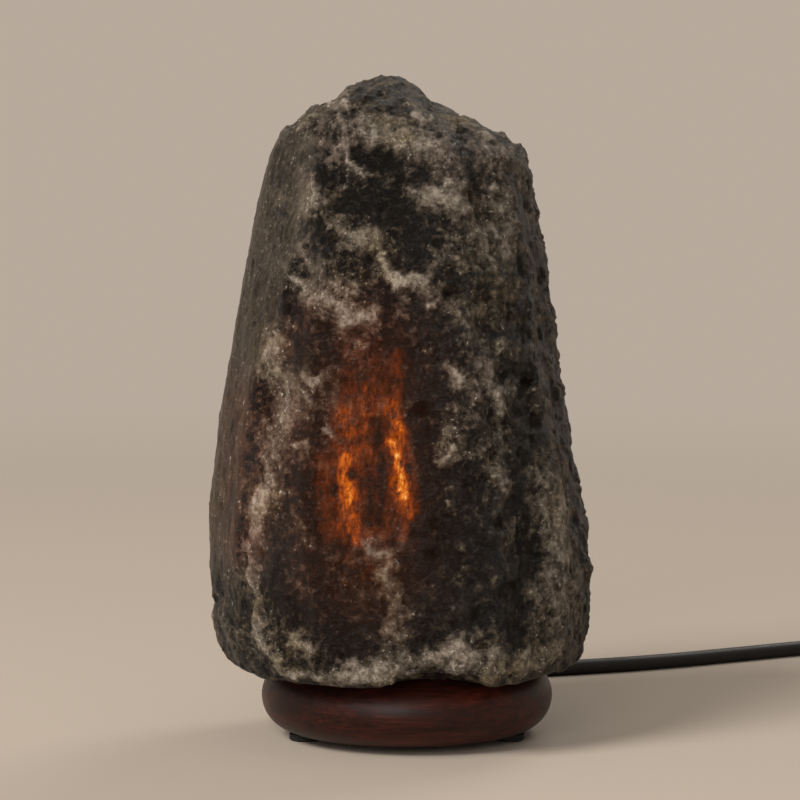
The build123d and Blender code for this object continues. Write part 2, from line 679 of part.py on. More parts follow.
lead_tip = (FILAMENT_SPAN / 2, GLASS_FOOT + FILAMENT_HEIGHT)
lead_root = (STEM_RADIUS - 2 * LEAD_WIRE_RADIUS, GLASS_FOOT + STEM_LENGTH + LEAD_WIRE_RADIUS / 2)
with BuildPart() as bulb_leads:
    for side in (-1, 1):
        with BuildLine(Plane.XZ):
            wire = Line((side * lead_root[0], lead_root[1]), (side * lead_tip[0], lead_tip[1]))
        with BuildSketch(Plane(origin=wire @ 0, z_dir=wire % 0)):
            RegularPolygon(LEAD_WIRE_RADIUS, 6)
        sweep(path=wire)

with BuildPart() as filament:
    reach = lead_tip[0] + FILAMENT_RADIUS
    height = lead_tip[1] + LEAD_WIRE_RADIUS + FILAMENT_RADIUS
    with BuildLine(Plane.XZ):
        hoop = ThreePointArc((-reach, height), (0, height + FILAMENT_SPAN / 4), (reach, height))
    with BuildSketch(Plane(origin=hoop @ 0, z_dir=hoop % 0)):
        RegularPolygon(FILAMENT_RADIUS, 6)
    sweep(path=hoop)

# ---------------------------------------------------------------- cord


def corner_radii(route):
    """The largest arc that each corner's two runs leave room for."""
    radii = []
    for before, corner, after in zip(route, route[1:], route[2:]):
        shorter = min((Vector(*corner) - Vector(*before)).length, (Vector(*after) - Vector(*corner)).length)
        turn = away(before, corner).get_angle(away(corner, after))
        radii.append(ARC_SHARE * shorter / tan(radians(turn) / 2))
    return radii


def cord_tube(name, route):
    """Round cord along straight runs joined by tangent arcs."""
    radii = corner_radii(route)
    with BuildPart() as tube:
        with BuildLine() as path:
            FilletPolyline(*route, radius=radii)
        with BuildSketch(Plane(origin=route[0], z_dir=away(route[0], route[1]))):
            Circle(CORD_RADIUS)
        sweep(path=path.wire())
    length = path.wire().length
    share = tube.part.volume / (pi * CORD_RADIUS**2 * length)
    print(f"{name}: length {length:.1f}, volume share {share:.4f}, radii", [round(r, 1) for r in radii])
    return tube, length


cord_inside, inside_length = cord_tube("cord_inside", INSIDE_ROUTE)
cord_lead, lead_length = cord_tube("cord_lead", LEAD_ROUTE)
cord_tail, tail_length = cord_tube("cord_tail", TAIL_ROUTE)
cord_end, end_length = cord_tube("cord_end", END_ROUTE)

with BuildPart() as cord_saddle:
    with BuildSketch(Plane.XY.offset(BASE_UNDERSIDE)):
        with Locations((0, SADDLE_Y)):
            SlotOverall(SADDLE_LENGTH, SADDLE_WIDTH)
        with Locations(*saddle_screw_places):
            Circle(SADDLE_SCREW_RADIUS + FIT, mode=Mode.SUBTRACT)
    extrude(amount=-SADDLE_THICKNESS)

saddle_screws = screws(
    saddle_screw_places,
    BASE_UNDERSIDE - SADDLE_THICKNESS,
    head=(SADDLE_SCREW_HEAD_RADIUS, SADDLE_SCREW_HEAD_HEIGHT),
    shank=(SADDLE_SCREW_RADIUS, SADDLE_SCREW_LENGTH),
    point=SADDLE_SCREW_RADIUS,
)

# ---------------------------------------------------------------- put-away coil


def coil_stations():
    """Points of the coil's centre line and the direction it has there.

    It starts on the right, winds inward on the lower layer, climbs in one half turn and winds
    outward on the upper one. Half turns are arcs between the right and the left side.
    """
    start = Vector(*TAIL_ROUTE[-1]) + Vector(0, -CORD_DIAMETER, 0)
    middle = start - Vector(COIL_OUTER_RADIUS, 0, 0)
    radius = COIL_OUTER_RADIUS
    side = 1
    height = 0.0
    stations = [(start, Vector(0, -side, 0))]
    for half_turn in range(COIL_HALF_TURNS_IN + 1 + COIL_HALF_TURNS_OUT):
        side = -side
        if half_turn == COIL_HALF_TURNS_IN:
            waist = sqrt(radius**2 + COIL_RISE**2 / 4)
            direction = stations[-1][1]
            crest = middle + Vector(0, direction.Y * waist, COIL_RISE / 2)
            stations.append((crest, None))
            height = COIL_RISE
        else:
            radius += -COIL_STEP / 2 if half_turn < COIL_HALF_TURNS_IN else COIL_STEP / 2
        stations.append((middle + Vector(side * radius, 0, height), Vector(0, -side, 0)))
    return stations


stations = coil_stations()
with BuildPart() as cord_coil:
    with BuildLine() as winding:
        entry = stations[0][0] + Vector(0, CORD_DIAMETER, 0)
        Line(entry, stations[0][0])
        heading = stations[0][1]
        for (before, _), (after, _) in zip(stations, stations[1:]):
            arc = TangentArc(before, after, tangent=heading)
            heading = arc % 1
        Line(stations[-1][0], stations[-1][0] + heading * CORD_DIAMETER)
    with BuildSketch(Plane(origin=entry, z_dir=(0, -1, 0))):
        RegularPolygon(COIL_SECTION_RADIUS, COIL_SIDES)
    sweep(path=winding.wire())

coil_length = winding.wire().length
section_area = COIL_SIDES / 2 * COIL_SECTION_RADIUS**2 * sin(2 * pi / COIL_SIDES)
coil_share = cord_coil.part.volume / (section_area * coil_length)
samples = [winding.wire() @ (step / COIL_SAMPLES) for step in range(COIL_SAMPLES + 1)]
nearby = int(COIL_SAMPLES * COIL_STEP * 2 / coil_length)
least = min(
    (samples[i] - samples[j]).length
    for i in range(len(samples))
    for j in range(i + nearby, len(samples))
)
print(f"cord_coil: length {coil_length:.1f}, volume share {coil_share:.4f}")
print(f"cord_coil: least gap between turns {least - CORD_DIAMETER:.2f}")
print(f"cord in all: {inside_length + lead_length + tail_length + coil_length + end_length:.0f}")
print("coil ends at", [round(v, 2) for v in stations[-1][0] + heading * CORD_DIAMETER])

# strap round the bundle of turns, on the coil's left side
left_turns = [point for point, direction in stations if direction is not None and direction.Y > 0]
with BuildPart() as coil_tie:
    with BuildSketch(Plane(origin=(0, left_turns[0].Y, 0), x_dir=(1, 0, 0), z_dir=(0, -1, 0))):
        with BuildSketch(mode=Mode.PRIVATE) as bundle:
            with Locations(*[(point.X, point.Z) for point in left_turns]):
                Circle(CORD_RADIUS + TIE_SLACK)
            make_hull()
        add(offset(bundle.sketch, TIE_THICKNESS, mode=Mode.PRIVATE))
        add(bundle.sketch, mode=Mode.SUBTRACT)
    extrude(amount=TIE_WIDTH / 2, both=True)

# ---------------------------------------------------------------- in-line switch

lead_heading = away(LEAD_ROUTE[-2], LEAD_ROUTE[-1])
switch_in = Vector(*LEAD_ROUTE[-1]) + lead_heading * RELIEF_LENGTH
switch_middle = switch_in + lead_heading * (SWITCH_LENGTH / 2)
switch_frame = Plane(
    origin=(switch_middle.X, switch_middle.Y, 0), x_dir=lead_heading, z_dir=(0, 0, 1)
)


def switch_sketch_plane(height):
    return Plane(
        origin=switch_frame.from_local_coords((0, 0, height)),
        x_dir=switch_frame.x_dir,
        z_dir=switch_frame.z_dir,
    )


with BuildPart() as switch_bottom:
    with BuildSketch(switch_sketch_plane(0)):
        RectangleRounded(SWITCH_LENGTH, SWITCH_WIDTH, SWITCH_END_ROUND)
    extrude(amount=SWITCH_SPLIT)
    fillet(switch_bottom.edges().group_by(Axis.Z)[0], SWITCH_EDGE_ROUND)
    with BuildSketch(switch_sketch_plane(SWITCH_FLOOR)):
        RectangleRounded(SWITCH_CAVITY_LENGTH, SWITCH_CAVITY_WIDTH, SWITCH_EDGE_ROUND)
    extrude(amount=SWITCH_SPLIT - SWITCH_FLOOR, mode=Mode.SUBTRACT)
    with BuildSketch(switch_sketch_plane(0)):
        with GridLocations(SWITCH_SCREW_SPACING, 0, 2, 1):
            Circle(SADDLE_SCREW_HEAD_RADIUS + FIT)
    extrude(amount=SADDLE_SCREW_HEAD_HEIGHT, mode=Mode.SUBTRACT)
    with BuildSketch(switch_sketch_plane(0)):
        with GridLocations(SWITCH_SCREW_SPACING, 0, 2, 1):
            Circle(SADDLE_SCREW_RADIUS + FIT)
    extrude(amount=SWITCH_SPLIT, mode=Mode.SUBTRACT)

with BuildPart() as switch_top:
    with BuildSketch(switch_sketch_plane(SWITCH_SPLIT)):
        RectangleRounded(SWITCH_LENGTH, SWITCH_WIDTH, SWITCH_END_ROUND)
    extrude(amount=SWITCH_HEIGHT - SWITCH_SPLIT)
    fillet(switch_top.edges().group_by(Axis.Z)[-1], SWITCH_EDGE_ROUND)
    with BuildSketch(switch_sketch_plane(SWITCH_SPLIT)):
        Rectangle(ROCKER_LENGTH + 2 * ROCKER_END_GAP, ROCKER_WIDTH + 2 * ROCKER_SIDE_GAP)
    extrude(amount=SWITCH_HEIGHT - SWITCH_SPLIT, mode=Mode.SUBTRACT)
    with BuildSketch(square_across(switch_frame, ROCKER_PIVOT_HEIGHT)):
        Circle(ROCKER_PIN_RADIUS + RUNNING_FIT)
    extrude(amount=ROCKER_PIN_LENGTH / 2 + FREE_GAP, both=True, mode=Mode.SUBTRACT)
    with BuildSketch(switch_sketch_plane(SWITCH_SPLIT)):
        with GridLocations(SWITCH_SCREW_SPACING, 0, 2, 1):
            Circle(SADDLE_SCREW_RADIUS + FIT)
    extrude(amount=SWITCH_SCREW_GRIP, mode=Mode.SUBTRACT)

switch_screw_ends = [
    switch_frame.from_local_coords((side * SWITCH_SCREW_SPACING / 2, 0, 0)) for side in (-1, 1)
]
switch_screws = screws(
    [(end.X, end.Y) for end in switch_screw_ends],
    SADDLE_SCREW_HEAD_HEIGHT,
    head=(SADDLE_SCREW_HEAD_RADIUS, SADDLE_SCREW_HEAD_HEIGHT - FIT),
    shank=(SADDLE_SCREW_RADIUS, SWITCH_SPLIT + SWITCH_SCREW_GRIP / 2),
)

with BuildPart() as switch_terminals:
    with BuildSketch(switch_sketch_plane(SWITCH_FLOOR)):
        with GridLocations(TERMINAL_BLOCK_SPACING, 0, 2, 1):
            Rectangle(TERMINAL_BLOCK[0], TERMINAL_BLOCK[1])
    extrude(amount=TERMINAL_BLOCK[2])

# rocker, resting on its ON stop: tilted about its pin
half_rocker = ROCKER_LENGTH / 2
with BuildPart() as switch_rocker:
    rocker_plane = square_across(switch_frame, ROCKER_PIVOT_HEIGHT, ROCKER_TILT)
    with BuildSketch(rocker_plane):
        with BuildLine():
            Polyline(
                (-half_rocker, ROCKER_HORN),
                (0, ROCKER_SADDLE),
                (half_rocker, ROCKER_HORN),
                (half_rocker - ROCKER_DRAFT, 0),
                (ROCKER_KEEL, -ROCKER_DEPTH),
                (-ROCKER_KEEL, -ROCKER_DEPTH),
                (-half_rocker + ROCKER_DRAFT, 0),
                close=True,
            )
        make_face()
    extrude(amount=ROCKER_WIDTH / 2, both=True)
    with BuildSketch(rocker_plane):
        Circle(ROCKER_PIN_RADIUS)
    extrude(amount=ROCKER_PIN_LENGTH / 2, both=True)

# ---------------------------------------------------------------- strain reliefs


def strain_relief(root, direction):
    """Tapered, grooved sleeve; root is the middle of its thick end."""
    side = Vector(0, 0, 1)
    plane = Plane(origin=root, x_dir=side, z_dir=side.cross(direction))
    tip_radius = CORD_RADIUS + RELIEF_TIP_WALL
    with BuildPart() as relief:
        with BuildSketch(plane):
            with BuildLine():
                Polyline(
                    (0, 0),
                    (RELIEF_ROOT_RADIUS, 0),
                    (tip_radius, RELIEF_LENGTH),
                    (0, RELIEF_LENGTH),
                    close=True,
                )
            make_face()
            for groove in range(1, RELIEF_GROOVES + 1):
                along = groove * RELIEF_LENGTH / (RELIEF_GROOVES + 1)
                radius = RELIEF_ROOT_RADIUS + (tip_radius - RELIEF_ROOT_RADIUS) * along / RELIEF_LENGTH
                with Locations((radius, along)):
                    Rectangle(2 * RELIEF_GROOVE_DEPTH, RELIEF_GROOVE_WIDTH, mode=Mode.SUBTRACT)
        revolve(axis=Axis(root, direction))
    return relief


switch_out = switch_in + lead_heading * SWITCH_LENGTH
switch_relief_in = strain_relief(switch_in, -lead_heading)
switch_relief_out = strain_relief(switch_out, lead_heading)

# ---------------------------------------------------------------- plug

plug_heading = away(END_ROUTE[-2], END_ROUTE[-1])
plug_root = Vector(*END_ROUTE[-1]) + plug_heading * RELIEF_LENGTH
plug_frame = Plane(origin=plug_root, x_dir=plug_heading, z_dir=(0, 0, 1))
plug_relief = strain_relief(plug_root, -plug_heading)

with BuildPart() as plug_body:
    with BuildSketch(square_to(plug_frame, PLUG_BODY_LENGTH - PLUG_FRONT_LENGTH)):
        RectangleRounded(PLUG_BODY_WIDTH, PLUG_BODY_THICKNESS, PLUG_EDGE_ROUND)
    extrude(amount=PLUG_FRONT_LENGTH)
    with BuildSketch(square_to(plug_frame, 0)):
        RectangleRounded(PLUG_TAIL_SIZE, PLUG_TAIL_SIZE, PLUG_EDGE_ROUND)
    with BuildSketch(square_to(plug_frame, PLUG_BODY_LENGTH - PLUG_FRONT_LENGTH)):
        RectangleRounded(PLUG_BODY_WIDTH, PLUG_BODY_THICKNESS, PLUG_EDGE_ROUND)
    loft()

with BuildPart() as plug_sleeves:
    with BuildSketch(square_to(plug_frame, PLUG_BODY_LENGTH)):
        with GridLocations(PIN_SPACING, 0, 2, 1):
            Circle(PIN_RADIUS)
            Circle(PIN_CORE_RADIUS, mode=Mode.SUBTRACT)
    extrude(amount=PIN_SLEEVE_LENGTH)

with BuildPart() as plug_pins:
    with BuildSketch(square_to(plug_frame, PLUG_BODY_LENGTH)):
        with GridLocations(PIN_SPACING, 0, 2, 1):
            Circle(PIN_CORE_RADIUS - FIT / 2)
    extrude(amount=PIN_SLEEVE_LENGTH)
    with BuildSketch(square_to(plug_frame, PLUG_BODY_LENGTH + PIN_SLEEVE_LENGTH)):
        with GridLocations(PIN_SPACING, 0, 2, 1):
            Circle(PIN_RADIUS)
    extrude(amount=PIN_LENGTH - PIN_SLEEVE_LENGTH)

# ---------------------------------------------------------------- written out

pieces = {
    "salt_crystal": salt_crystal,
    "wooden_base": wooden_base,
    "base_screws": base_screws,
    "screw_plugs": screw_plugs,
    "holder_cap": holder_cap,
    "holder_insert": holder_insert,
    "terminal_screws": terminal_screws,
    "holder_body": holder_body,
    "threaded_shell": threaded_shell,
    "centre_contact": centre_contact,
    "spring_clip": spring_clip,
    "cord_grip": cord_grip,
    "bulb_contact": bulb_contact,
    "bulb_insulator": bulb_insulator,
    "bulb_cap": bulb_cap,
    "bulb_glass": bulb_glass,
    "bulb_stem": bulb_stem,
    "bulb_leads": bulb_leads,
    "filament": filament,
    "cord_inside": cord_inside,
    "cord_saddle": cord_saddle,
    "saddle_screws": saddle_screws,
    "cord_lead": cord_lead,
    "cord_tail": cord_tail,
    "cord_coil": cord_coil,
    "cord_end": cord_end,
    "coil_tie": coil_tie,
    "switch_bottom": switch_bottom,
    "switch_top": switch_top,
    "switch_rocker": switch_rocker,
    "switch_screws": switch_screws,
    "switch_terminals": switch_terminals,
    "switch_relief_in": switch_relief_in,
    "switch_relief_out": switch_relief_out,
    "plug_relief": plug_relief,
    "plug_body": plug_body,
    "plug_sleeves": plug_sleeves,
    "plug_pins": plug_pins,
}
for number, rubber_foot in enumerate(rubber_feet, start=1):
    pieces[f"rubber_foot_{number}"] = rubber_foot

os.makedirs("parts", exist_ok=True)
for name, piece in pieces.items():
    piece.part.label = name
    export_step(piece.part, f"parts/{name}.step")
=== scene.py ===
# %% [markdown]
# # A salt crystal lamp
# The lamp is a rough block of dark rock salt on a turned wooden base, lit from inside, with a
# mains cord, an in-line switch and a plug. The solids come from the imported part, already at
# their real size and place, so this script only adds looks: it loads them as a fixed frame,
# builds new pieces over the ones that need more form, and gives each surface its finish.
# Loading first means that every size below can be read from the frame.

# %% Load the frame
import json
import math

import bmesh
import bpy
import numpy as np
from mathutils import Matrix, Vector, noise


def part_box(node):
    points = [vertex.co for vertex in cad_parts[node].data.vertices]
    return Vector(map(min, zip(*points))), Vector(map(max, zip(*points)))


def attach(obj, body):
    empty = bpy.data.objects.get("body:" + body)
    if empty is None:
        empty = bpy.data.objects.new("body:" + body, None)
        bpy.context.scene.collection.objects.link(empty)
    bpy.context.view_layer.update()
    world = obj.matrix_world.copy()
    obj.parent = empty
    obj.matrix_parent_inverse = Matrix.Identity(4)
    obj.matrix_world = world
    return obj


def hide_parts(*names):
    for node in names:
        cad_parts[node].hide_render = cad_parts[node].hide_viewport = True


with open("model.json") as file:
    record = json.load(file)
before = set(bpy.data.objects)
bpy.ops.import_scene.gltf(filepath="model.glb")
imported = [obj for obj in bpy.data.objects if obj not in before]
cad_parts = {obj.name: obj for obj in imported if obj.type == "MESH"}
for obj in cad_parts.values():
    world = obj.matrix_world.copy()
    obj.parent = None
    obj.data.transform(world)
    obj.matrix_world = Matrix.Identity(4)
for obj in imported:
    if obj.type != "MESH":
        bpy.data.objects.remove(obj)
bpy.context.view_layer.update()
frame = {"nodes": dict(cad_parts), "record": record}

nodes = frame["nodes"]
MM = 0.001

# %% [markdown]
# ## The camera
# The lamp was pictured from a little above, with a long lens and no tilt to the side. The
# camera stands 1.1 m in front of the lamp's axis and looks slightly down. A long lens at a
# distance keeps the sides of the rock nearly parallel, as they are in the picture.

# %% Camera
CAMERA_PLACE = Vector((-2.6, -1100, 199)) * MM
CAMERA_DOWN = 3.76          # degrees below the horizon
FOCAL_SHARE = 2925 / 800    # focal length in picture widths

camera_data = bpy.data.cameras.new("camera")
camera_data.sensor_width = 36
camera_data.lens = FOCAL_SHARE * camera_data.sensor_width
camera_data.clip_start = 0.05
camera = bpy.data.objects.new("camera", camera_data)
camera.location = CAMERA_PLACE
camera.rotation_euler = (math.radians(90 - CAMERA_DOWN), 0, 0)
bpy.context.scene.collection.objects.link(camera)
bpy.context.scene.camera = camera
print("lens", round(camera_data.lens, 1), "mm")

# %% [markdown]
# ## The mains cord
# The cord is one flexible length of round black PVC, 6.4 mm thick. It leaves a groove at the
# back of the base, lies on the table, passes through a switch, and its spare length is wound
# in a round coil that ends in the plug. A NURBS curve gives a line that bends as a real cord
# does, with a few given points. Order 3 and the end points are set once the points
# are there, because a spline with no points can't hold them.

# %% Routes of the cord, in millimetres
CORD_DIAMETER = 6.4
# from the groove at the back of the base to the switch
LEAD_ROUTE = (
    (0.0, 56.0, 5.65),
    (0.0, 71.0, 5.52),
    (3.5, 89.0, 3.25),
    (14.0, 109.5, 3.25),
    (37.0, 128.0, 3.25),
    (70.0, 137.6, 3.25),
    (108.0, 153.0, 3.25),
    (143.0, 173.6, 3.25),
    (171.0, 190.6, 3.25),
    (190.0, 199.0, 3.6),
    (209.0, 200.5, 8.0),
    (226.0, 196.5, 8.0),
)
# from the switch to the coil
TAIL_ROUTE = (
    (327.24, 172.68, 8.0),
    (342.81, 169.02, 8.0),
    (354.5, 159.8, 6.0),
    (360.2, 146.5, 3.8),
    (361.0, 124.0, 4.4),
    (361.0, 106.4, 4.4),
)
# from the coil to the plug
END_ROUTE = (
    (357.0, 93.6, 12.2),
    (357.0, 75.4, 12.2),
    (356.6, 54.4, 6.9),
    (356.0, 36.4, 6.9),
)

# %% Turns of the coil
COIL_MIDDLE = (311.0, 100.0)
COIL_RADIUS = 50.0          # of the first turn
COIL_STEP = 8.0             # sideways, from turn to turn
COIL_FOOT = 4.4             # height of the lower layer's centre line
COIL_RISE = 7.8             # from layer to layer
HALF_TURNS_IN = 6
HALF_TURNS_OUT = 5
POINTS_PER_TURN = 16
# where it is nearest to a point, a spline of order 3 is 3/4 that point and 1/8 each neighbour,
# which on a ring is a little inside it, so the points lie this much further out
SPREAD = 1 / (0.75 + 0.25 * math.cos(2 * math.pi / POINTS_PER_TURN))


def coil_turns():
    """The turns wind inward on the table, climb at the middle and wind outward on top."""
    points = []
    half_turns = HALF_TURNS_IN + 1 + HALF_TURNS_OUT
    for step in range(half_turns * POINTS_PER_TURN // 2 + 1):
        half = step * 2 / POINTS_PER_TURN
        inward = min(half, HALF_TURNS_IN)
        outward = max(half - HALF_TURNS_IN - 1, 0)
        radius = (COIL_RADIUS + (outward - inward) * COIL_STEP / 2) * SPREAD
        climbed = min(max(half - HALF_TURNS_IN, 0), 1)
        x = COIL_MIDDLE[0] + radius * math.cos(math.pi * half)
        y = COIL_MIDDLE[1] - radius * math.sin(math.pi * half)
        points.append((x, y, COIL_FOOT + climbed * COIL_RISE))
    return points


print("coil points", len(coil_turns()))


# %% The cord's two lengths
def cord_curve(name, route):
    """A round flex along the points of its route, as a NURBS curve."""
    curve = bpy.data.curves.new(name, "CURVE")
    curve.dimensions = "3D"
    curve.bevel_depth = 1.0     # times each point's radius, which the box also counts
    curve.bevel_resolution = 5
    curve.resolution_u = 8
    curve.use_fill_caps = True
    spline = curve.splines.new("NURBS")
    spline.points.add(len(route) - 1)
    for point, place in zip(spline.points, route):
        point.co = (*(Vector(place) * MM), 1)
        point.radius = CORD_DIAMETER / 2 * MM
    spline.order_u = 3
    spline.use_endpoint_u = True
    made = bpy.data.objects.new(name, curve)
    bpy.context.scene.collection.objects.link(made)
    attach(made, "lamp")
    return made


cord_to_switch = cord_curve("cord_to_switch", LEAD_ROUTE)
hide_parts("cord_lead")
cord_to_plug = cord_curve("cord_to_plug", (*TAIL_ROUTE, *coil_turns(), *END_ROUTE))
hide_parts("cord_tail", "cord_coil", "cord_end")
for piece in (cord_to_switch, cord_to_plug):
    print(piece.name, round(piece.data.splines[0].calc_length(), 3), "m")

# %% [markdown]
# ## Building materials
# Each finish is a node tree round the Principled shader. One helper turns the hex value of a
# colour into the linear numbers that a shader wants, and one adds a node, sets it and links
# it. A pattern's scale is written from a real size in millimetres, because the textures count
# how many times they repeat in a metre. Object coordinates keep a pattern in place on its
# piece, so no UV map is needed.


# %% Material helpers
# Most inputs are given by name. A Math node's are all called Value, and a Mix node's colours
# share their names with its numbers, so those go by their place in the node.
COLOUR_A, COLOUR_B, COLOUR_OUT = 6, 7, 2
# most values of a noise texture lie in this range
NOISE_SPAN = {"From Min": 0.3, "From Max": 0.7}


def colour(hex_value):
    """Linear RGBA of an sRGB hex colour such as #4A241A."""
    shares = [int(hex_value[i:i + 2], 16) / 255 for i in (1, 3, 5)]
    linear = [c / 12.92 if c <= 0.04045 else ((c + 0.055) / 1.055) ** 2.4 for c in shares]
    return (*linear, 1.0)


def add(tree, kind, into=None, stops=None, **settings):
    """Adds a node. into gives its inputs, as values or as sockets to link from."""
    made = tree.nodes.new(kind)
    for name, value in settings.items():
        setattr(made, name, value)
    for name, value in (into or {}).items():
        if isinstance(value, bpy.types.NodeSocket):
            tree.links.new(value, made.inputs[name])
        else:
            made.inputs[name].default_value = value
    if stops:
        while len(made.color_ramp.elements) < len(stops):
            made.color_ramp.elements.new(1.0)
        for element, (position, hex_value) in zip(made.color_ramp.elements, stops):
            element.position = position
            element.color = colour(hex_value)
    return made


def per_metre(size_mm):
    """The scale at which a texture's feature is that many millimetres wide."""
    return 1000 / size_mm


finishes = {}               # slot name: material


def new_finish(slot_name, material_name, shader_inputs):
    """A material with its Principled shader, whose uniform values are set directly. Gives
    its tree, its shader and the place on the piece that patterns read."""
    material = bpy.data.materials.new(material_name)
    material.use_nodes = True
    finishes[slot_name] = material
    tree = material.node_tree
    tree.nodes.clear()
    shader = add(tree, "ShaderNodeBsdfPrincipled", shader_inputs)
    add(tree, "ShaderNodeOutputMaterial", {"Surface": shader.outputs["BSDF"]})
    return tree, shader, add(tree, "ShaderNodeTexCoord").outputs["Object"]


def feed(tree, shader, sockets):
    """Links patterns to the shader's inputs."""
    for name, socket in sockets.items():
        tree.links.new(socket, shader.inputs[name])


def wear(piece, material):
    """Gives a piece one material on all its faces."""
    piece.data.materials.clear()
    piece.data.materials.append(material)


print("a pattern 5 mm wide repeats", per_metre(5), "times in a metre")

# %% [markdown]
# ## The salt block
# The real block is a lump of dark rock salt, broken from the wall of a mine and brushed. It
# has large broken flats, a skin of pale re-grown crust in patches and veins, round pits, and
# clear dark salt between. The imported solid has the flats. A voxel remesh of its copy gives an
# even net of small faces, which is then rounded, roughened and pitted by moving its points
# along their normals. The bore and the flat foot must stay as they are, so they are masked.

# %% Remesh a copy of the solid
SALT_VOXEL = 1.3            # millimetres, fine enough for crumbs of 4 mm
salt_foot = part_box("salt_crystal")[0].z / MM


def merged_copy(name, source):
    """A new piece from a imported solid, with its loose triangles joined up."""
    mesh = bpy.data.meshes.new(name)
    bm = bmesh.new()
    bm.from_mesh(source.data)
    bmesh.ops.remove_doubles(bm, verts=bm.verts, dist=1e-6)
    bmesh.ops.recalc_face_normals(bm, faces=bm.faces)
    bm.to_mesh(mesh)
    bm.free()
    made = bpy.data.objects.new(name, mesh)
    bpy.context.scene.collection.objects.link(made)
    return made


def apply_modifiers(piece):
    """Makes what a piece's modifiers give its own mesh."""
    graph = bpy.context.evaluated_depsgraph_get()
    result = bpy.data.meshes.new_from_object(piece.evaluated_get(graph))
    piece.modifiers.clear()
    piece.data = result


salt = merged_copy("rock_salt_block", nodes["salt_crystal"])
remesh = salt.modifiers.new("remesh", "REMESH")
remesh.mode = "VOXEL"
remesh.voxel_size = SALT_VOXEL * MM
apply_modifiers(salt)
print("salt points", len(salt.data.vertices), "foot at", round(salt_foot, 1), "mm")

# %% [markdown]
# ### Where the skin changes
# Pale crust, clear dark salt and the glowing cracks lie in places of their own on this block,
# which noise alone would not find. A painted image could hold them, but a few rows of numbers
# are plainer and can be changed one at a time. Each row is a soft-edged strip on the front: x
# and height of both its ends and its half width in millimetres, and then its strength.

# %% Places on the front, listed
# the strength is how pale the crust is
CRUST_PATCHES = (
    (-27, 237, -23, 239, 2.2, 0.75), (-41, 230, -36, 232, 2.2, 0.8),
    (-24, 231, -21, 216, 1.5, 0.95), (-21, 216, -15, 210, 1.6, 1.0),
    (-12, 230, 6, 226, 3.6, 0.36), (4, 233, 7, 231, 2.0, 0.8), (-37, 209, -33, 203, 3.6, 0.62),
    (-38, 203, -37, 197, 3.0, 0.7), (-28, 216, -24, 222, 3, 0.32), (2, 205, 18, 200, 4.6, 0.55),
    (10, 212, 22, 206, 3, 0.42), (27, 226, 38, 218, 4, 0.42), (38, 216, 41, 206, 3.4, 0.42),
    (28, 191, 29, 182, 3, 0.5), (34, 200, 36, 186, 3, 0.34), (-19, 191, -10, 188, 3.4, 0.42),
    (-38, 186, -33, 178, 3.6, 0.36), (-9, 180, -4, 174, 2.8, 1.0), (-4, 173, 6, 173, 2.2, 0.85),
    (7, 174, 8, 178, 1.8, 0.7), (-33, 168, -22, 162, 5.2, 0.55), (-27, 172, -19, 170, 2.6, 0.6),
    (-40, 172, -36, 168, 2.6, 0.55), (-17, 161, -11, 160, 2.0, 0.85),
    (8, 164, 10, 164, 1.4, 0.9), (18, 163, 34, 160, 3.6, 0.42), (-48, 152, -47, 141, 4.2, 0.62),
    # the spot at x -37 and height 139 is pale crust with a painted glint on it
    (-44, 156, -41, 157, 2, 0.5), (-37, 139, -34, 137, 1.8, 1.0),
    (-42, 135, -36, 131, 3.2, 0.5), (14, 142, 20, 137, 2.6, 0.62), (22, 134, 24, 130, 2.0, 0.5),
    (34, 149, 40, 145, 3, 0.45), (30, 132, 34, 127, 2.6, 0.42), (11, 108, 16, 113, 1.8, 0.8),
    (15, 95, 18, 90, 1.6, 0.9), (26, 106, 37, 98, 2.0, 0.5), (-14, 79, -8, 76, 3.2, 0.66),
    # the spot at x -28 and height 119 is pale crust with painted glints on it
    (-28, 119, -26, 117, 2.0, 0.66), (-39, 114, -36, 113, 1.6, 0.5),
    (-11, 74, -11, 60, 2.6, 0.38), (-51, 109, -49, 100, 3.6, 0.55),
    (-52, 95, -55, 78, 4.2, 0.62), (-55, 70, -53, 46, 2.4, 0.6), (-53, 44, -44, 34, 3.0, 0.62),
    (-44, 33, -20, 31, 3.2, 0.62), (-19, 33, 2, 32, 3.0, 0.55), (-39, 44, -36, 42, 2.6, 0.6),
    (-21, 36, -19, 37, 2.2, 0.85), (5, 38, 18, 44, 3.4, 0.6), (27, 46, 31, 32, 4.0, 0.45),
    (36, 33, 56, 36, 3.6, 0.42), (54, 94, 57, 70, 4.2, 0.5), (46, 62, 48, 50, 3.4, 0.42),
    (38, 87, 38, 78, 2.0, 0.5), (30, 52, 33, 46, 2.4, 0.45), (-19, 229, 40, 214, 7, 0.34),
    (34, 218, 36, 168, 7, 0.32), (-24, 192, -12, 186, 5, 0.36), (28, 138, 48, 128, 5, 0.36),
    (-48, 140, -43, 124, 5, 0.42), (-50, 120, -49, 96, 5, 0.4), (51, 100, 56, 40, 7, 0.34),
    (-10, 34, 10, 38, 3.4, 0.5), (20, 38, 56, 37, 6, 0.3), (8, 171, 34, 158, 5, 0.34),
    (-40, 206, -30, 202, 6, 0.34), (14, 112, 36, 104, 4, 0.3), (-11, 79, -8, 68, 4.2, 0.55),
    (-6, 60, -5, 50, 3.0, 0.35),
)
